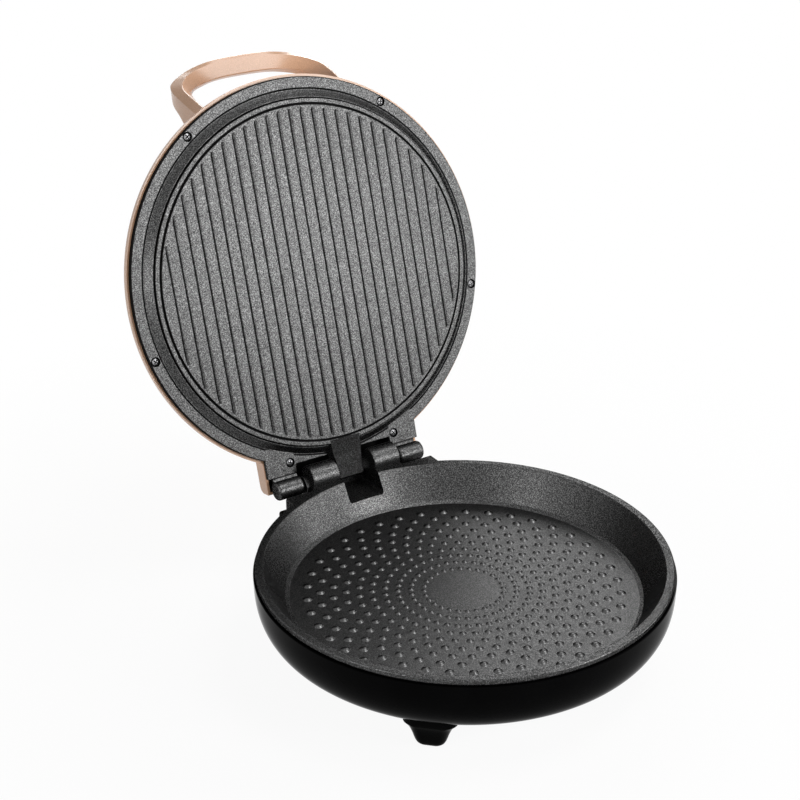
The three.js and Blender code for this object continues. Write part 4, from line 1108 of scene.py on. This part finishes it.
def panel_matrix():
    """Place of the control panel on the dome, its face up."""
    crown, _ = dome_crown()
    tilt = asin(PANEL_PLACE / crown)
    return shift(0, -PANEL_PLACE, dome_height(PANEL_PLACE) + PANEL_RISE) @ turn(tilt, "X")


def panel_outline(grow):
    half_width = PANEL_WIDTH / 2 + grow
    return pill(PANEL_LENGTH / 2 + grow, half_width, half_width - PANEL_FLAT, PANEL_STEPS)


def lid_dome():
    """Domed shell with its skirt and the raised seat of the control panel."""
    body = lathe([(0, SHELL_LIP_Z), *dome_curve(0, *DOME_STEPS)])
    hollow = lathe([(0, SHELL_LIP_Z - OVERRUN), (DOME_LIP - DOME_WALL, SHELL_LIP_Z - OVERRUN),
                    *dome_curve(DOME_WALL, *DOME_INNER_STEPS)[1:]])
    pad = moved(raised(panel_outline(PANEL_LEDGE), -PANEL_ROOT, 0, LEDGE_EDGE), panel_matrix())
    seat = moved(raised(panel_outline(FIT), -PANEL_THICKNESS - FIT, OVERRUN), panel_matrix())
    room = block(-BARREL_INNER, BARREL_INNER, EAR_REAR, SKIRT_REAR + OVERRUN, SHELL_LIP_Z - OVERRUN,
                 LID_SIDE + SKIRT_HEIGHT - DOME_WALL)
    whole = joined(body, [skirt(0, SHELL_LIP_Z, SKIRT_EDGE), pad])
    shell = cut(whole, [hollow, skirt(DOME_WALL, SHELL_LIP_Z - OVERRUN, 0), room, seat])
    # The inward faces take near-black painted shade: the shell's raw inside, darkened to stand for
    # the shade inside the lid.
    return shade_painted_inside(shell, Vector((0, 0, LID_SIDE + DOME_WALL)))


def shade_painted_inside(form, middle):
    """Gives the faces that look towards the middle the second material."""
    form.normal_update()
    for face in form.faces:
        if face.normal.dot(middle - face.calc_center_median()) > 0:
            face.material_index = 1
    return form


piece("lid_dome", lid_dome(), LID, "lid", GOLD, ["upper_shell"], linings=[PAINTED_SHADE])


# Handle: each edge of half the loop, from the foot on the dome to the middle of the grip
RIDGE = [(64, 143, 4), (65, 150, 19), (66, 155.6, 29), (66, 160, 38), (65, 164, 45), (61, 168, 51),
         (52, 173, 58), (38, 177, 62.5), (17, 180, 65.6)]
OUTER = [(70, 137, 6), (70.5, 146, 25), (71.5, 153, 37), (72.4, 160, 48), (71.3, 164.5, 54.6),
         (68, 168, 59.5), (59, 173, 62.5), (42.5, 178.8, 65), (18, 182.4, 66.5)]
OUTER_BACK = [(72, 112, 22), (71.5, 128, 37), (71, 140, 47), (70, 149, 58), (68, 155, 63),
              (64, 160, 68), (56, 167, 72), (41, 173.5, 74.5), (17.5, 177.3, 76)]
INNER_BACK = [(54, 115, 24), (55, 131, 37), (55.5, 142, 46), (55, 151.3, 55), (52.5, 155, 59),
              (48, 158.8, 62.4), (40, 161.4, 65), (28, 164, 66.7), (12.5, 165.2, 67)]
INNER = [(54, 124.5, 22), (55, 141, 34), (55.5, 149.5, 43), (55, 157.4, 51.5), (52.5, 160.3, 55),
         (48, 162.1, 57.3), (40.5, 164, 58.5), (29, 166, 59), (14, 167, 59)]
HANDLE_CORNERS = (0.9, 1.0, 1.6, 1.6, 1.0)
HANDLE_STEPS = 6


def smooth_path(points, steps):
    """Catmull-Rom curve through the points."""
    points = [Vector(p) for p in points]
    ends = [2 * points[0] - points[1], *points, 2 * points[-1] - points[-2]]
    result = []
    for i in range(1, len(ends) - 2):
        a, b, c, d = ends[i - 1:i + 3]
        for step in range(steps):
            t = step / steps
            result.append(0.5 * (2 * b + (c - a) * t + (2 * a - 5 * b + 4 * c - d) * t ** 2
                                 + (3 * b - a - 3 * c + d) * t ** 3))
    result.append(points[-1])
    return result


def handle_loop():
    """Five-cornered bar swept from foot to foot, its corners rounded."""
    paths = []
    for corner in (RIDGE, OUTER, OUTER_BACK, INNER_BACK, INNER):
        right = [(x, -y, z) for x, y, z in corner]
        left = [(-x, y, z) for x, y, z in reversed(right)]
        paths.append(smooth_path(right + left, HANDLE_STEPS))
    rings = [rounded(corners, HANDLE_CORNERS, 3, True) for corners in zip(*paths)]
    clear = lathe([(0, 0), *[(r, z + FIT) for r, z in dome_curve(0, *DOME_STEPS)]])
    return cut(loft(rings), [clear])


piece("handle_bar", handle_loop(), LID, "lid", GOLD, ["lid_handle"])


# Controls
def control_plate():
    """Panel with holes for both buttons and both lenses."""
    under = -PANEL_THICKNESS - OVERRUN
    holes = []
    for x in (-BUTTON_SPACING / 2, BUTTON_SPACING / 2):
        holes += [upright(BUTTON + FIT, x, 0, under, OVERRUN, BUTTON_SIDES),
                  upright(LENS + FIT, x, LENS_PLACE, under, OVERRUN)]
    return cut(raised(panel_outline(0), -PANEL_THICKNESS, 0, PANEL_EDGE), holes)


def button_cap(side):
    """Round button with a retaining lip below and a dished top."""
    under = -PANEL_THICKNESS - FIT
    lip = BUTTON + BUTTON_LIP
    profile = rounded([(0, under - BUTTON_LIP), (lip, under - BUTTON_LIP), (lip, under),
                       (BUTTON, under), (BUTTON, BUTTON_PROUD),
                       (BUTTON - BUTTON_RING[0], BUTTON_PROUD),
                       (BUTTON - BUTTON_RING[1], BUTTON_PROUD - BUTTON_DISHES[0]),
                       (0, BUTTON_PROUD - BUTTON_DISHES[1])], BUTTON_CORNERS, 5)
    return moved(lathe(profile, BUTTON_SIDES), shift(side * BUTTON_SPACING / 2, 0, 0))


def lens_cap(side):
    profile = rounded([(0, -LENS_DEPTH), (LENS, -LENS_DEPTH), (LENS, LENS_SIDE), (0, LENS_TOP)],
                      LENS_CORNERS, 4)
    return moved(lathe(profile, FINE), shift(side * BUTTON_SPACING / 2, LENS_PLACE, 0))


ON_PANEL = LID @ panel_matrix()
piece("control_plate", control_plate(), ON_PANEL, "lid", PLASTIC,
      ["control_panel"])
for side, heat in ((-1, "upper"), (1, "lower")):
    piece(f"{heat}_heat_cap", button_cap(side), ON_PANEL, f"{heat}_button", GOLD,
          [f"{heat}_heat_button"])
    piece(f"{heat}_heat_light", lens_cap(side), ON_PANEL, "lid", AMBER,
          [f"{heat}_heat_lens"])


# Mains inlet
def inlet_socket():
    """Open cup with a low collar round its mouth."""
    def plan(grow):
        return pill(INLET_WIDTH / 2 + grow, INLET_HEIGHT / 2 + grow, INLET_WALL + grow)
    body = joined(raised(plan(0), -INLET_DEPTH - INLET_WALL, INLET_WALL / 4),
                  [raised(plan(INLET_WALL), 0, INLET_WALL / 2, INLET_EDGE)])
    return cut(body, [raised(plan(-INLET_WALL), -INLET_DEPTH, INLET_WALL)])


AT_INLET = BASE @ shift(0, HOUSING_REAR + FIT, -INLET_DROP) @ turn(-TURN / 4, "X")
piece("inlet_socket", inlet_socket(), AT_INLET, "base", PLASTIC, ["inlet_housing"])
PIN_PLACES = {"line": (-INLET_PIN_PITCH, -INLET_PIN_RISE),
              "neutral": (INLET_PIN_PITCH, -INLET_PIN_RISE), "earth": (0, INLET_PIN_RISE)}
for pin_name, (x, y) in PIN_PLACES.items():
    start = -INLET_DEPTH - INLET_WALL - FIT
    outline = oblong(0, INLET_PIN, start, start + INLET_PIN_LENGTH)
    pin = lathe(rounded(outline, [0, 0, INLET_PIN_END, 0], 4), INLET_PIN_SIDES)
    piece(f"contact_{pin_name}", moved(pin, shift(x, y, 0)), AT_INLET, "base", BRASS,
          [f"inlet_pin_{pin_name}"])

# Kept CAD pieces and their finishes
KEPT = {
    "hinge_pin": STEEL, "heater": SHEATH, "reflector_screw": STEEL, "reflector": REFLECTOR,
    "thermostat": PLASTIC, "thermal_fuse": CERAMIC, "switch_module": PLASTIC, "handle_screw": STEEL,
}
for node_name, node in frame["nodes"].items():
    for word, material in KEPT.items():
        if word in node_name:
            node.data.materials.clear()
            node.data.materials.append(material)
            break

# Camera: the photograph's place, angle and lens, in the pan's frame
CAMERA_TURN = radians(-32.112)
CAMERA_RISE = radians(26.163)
CAMERA_ROLL = radians(-0.208)
CAMERA_DISTANCE = 1331.543
CAMERA_FOCUS = (-48.473, 120.355)
FOCAL_PIXELS = 1752.024
IMAGE_PIXELS = 800
SENSOR = 36.0
CLIP_END = 50

back = Vector((sin(CAMERA_TURN) * cos(CAMERA_RISE),
               -cos(CAMERA_TURN) * cos(CAMERA_RISE), sin(CAMERA_RISE)))
level = Vector((cos(CAMERA_TURN), sin(CAMERA_TURN), 0))
upward = back.cross(level)
right = level * cos(CAMERA_ROLL) + upward * sin(CAMERA_ROLL)
up = upward * cos(CAMERA_ROLL) - level * sin(CAMERA_ROLL)
target = level * CAMERA_FOCUS[0] + upward * CAMERA_FOCUS[1]
spot = BASE @ (target + back * CAMERA_DISTANCE)
camera_data = bpy.data.cameras.new("camera")
camera_data.sensor_width = SENSOR
camera_data.lens = SENSOR * FOCAL_PIXELS / IMAGE_PIXELS
camera_data.clip_end = CLIP_END
camera = placed("camera", camera_data)
camera.matrix_world = (Matrix.Translation(spot)
                       @ Matrix((right, up, back)).transposed().to_4x4())
bpy.context.scene.camera = camera


# Floor, world and lamps
WORLD = 0.02
WHITE_SHARE = (0.935, 1.0)
WHITE_REACH = (0.28, 0.6)
FLOOR_GREY = 0.8
FLOOR_REACH = 6.0
LID_AIM = (0, 0.1, 0.2)
PAN_AIM = (0, 0.05, 0.12)


def seen_directly(tree):
    """1 for rays from the camera, a mirror or glass, otherwise 0."""
    path = add_node(tree, "LightPath").outputs
    share = path["Is Camera Ray"]
    for other in ("Is Glossy Ray", "Is Transmission Ray"):
        share = add_node(tree, "Math", share, path[other], operation="MAXIMUM").outputs[0]
    return share


def floor_material():
    """Grey that lights the object plainly, seen as nearly white close by and white further off."""
    material = bpy.data.materials.new("pale_floor")
    tree = tree_of(material)
    tree.nodes.clear()
    diffuse = add_node(tree, "BsdfDiffuse", (*grey(FLOOR_GREY), 1))
    shine = add_node(tree, "Emission")
    place = add_node(tree, "TexCoord").outputs["Object"]
    away = add_node(tree, "VectorMath", place, operation="LENGTH").outputs["Value"]
    fade = add_node(tree, "MapRange", away, *WHITE_REACH, *WHITE_SHARE).outputs["Result"]
    share = add_node(tree, "Math", seen_directly(tree), fade, operation="MULTIPLY")
    mix = add_node(tree, "MixShader", share.outputs[0], diffuse.outputs[0],
                   shine.outputs[0])
    add_node(tree, "OutputMaterial", mix.outputs[0])
    return material


def floor():
    mesh = bpy.data.meshes.new("floor")
    corners = oblong(-FLOOR_REACH, FLOOR_REACH, -FLOOR_REACH, FLOOR_REACH)
    mesh.from_pydata([(x, y, 0) for x, y in corners], [], [(0, 1, 2, 3)])
    mesh.materials.append(floor_material())
    placed("floor", mesh)


def lamp(name, place, aim, size, power):
    """Rectangular lamp at a place in metres, turned to its aim."""
    data = bpy.data.lights.new(name, "AREA")
    data.shape = "RECTANGLE"
    data.size, data.size_y = size
    data.energy = power
    obj = placed(name, data)
    obj.location = place
    obj.rotation_euler = (Vector(aim) - Vector(place)).to_track_quat("-Z", "Y").to_euler()


def world():
    """White where it is seen, and a faint light on everything else."""
    made = bpy.data.worlds.new("studio")
    tree = tree_of(made)
    tree.nodes.clear()
    seen = add_node(tree, "Background", (*grey(1), 1), 1)
    light = add_node(tree, "Background", Strength=WORLD)
    choice = add_node(tree, "MixShader", seen_directly(tree), light.outputs[0],
                      seen.outputs[0])
    add_node(tree, "OutputWorld", choice.outputs[0])
    bpy.context.scene.world = made


floor()
world()
lamp("front_right", (0.64, -1.20, 0.58), LID_AIM, (0.5, 0.62), 12)
lamp("right", (1.50, -0.70, 0.25), PAN_AIM, (0.4, 0.35), 8.5)
lamp("rear_right", (0.82, 1.18, 0.86), PAN_AIM, (1.25, 0.9), 19)
lamp("left", (-1.50, -0.50, 0.62), LID_AIM, (0.5, 0.4), 7.8)
lamp("high", (0.75, -0.35, 1.80), PAN_AIM, (0.8, 0.8), 13)
bpy.context.scene.view_settings.view_transform = "Standard"
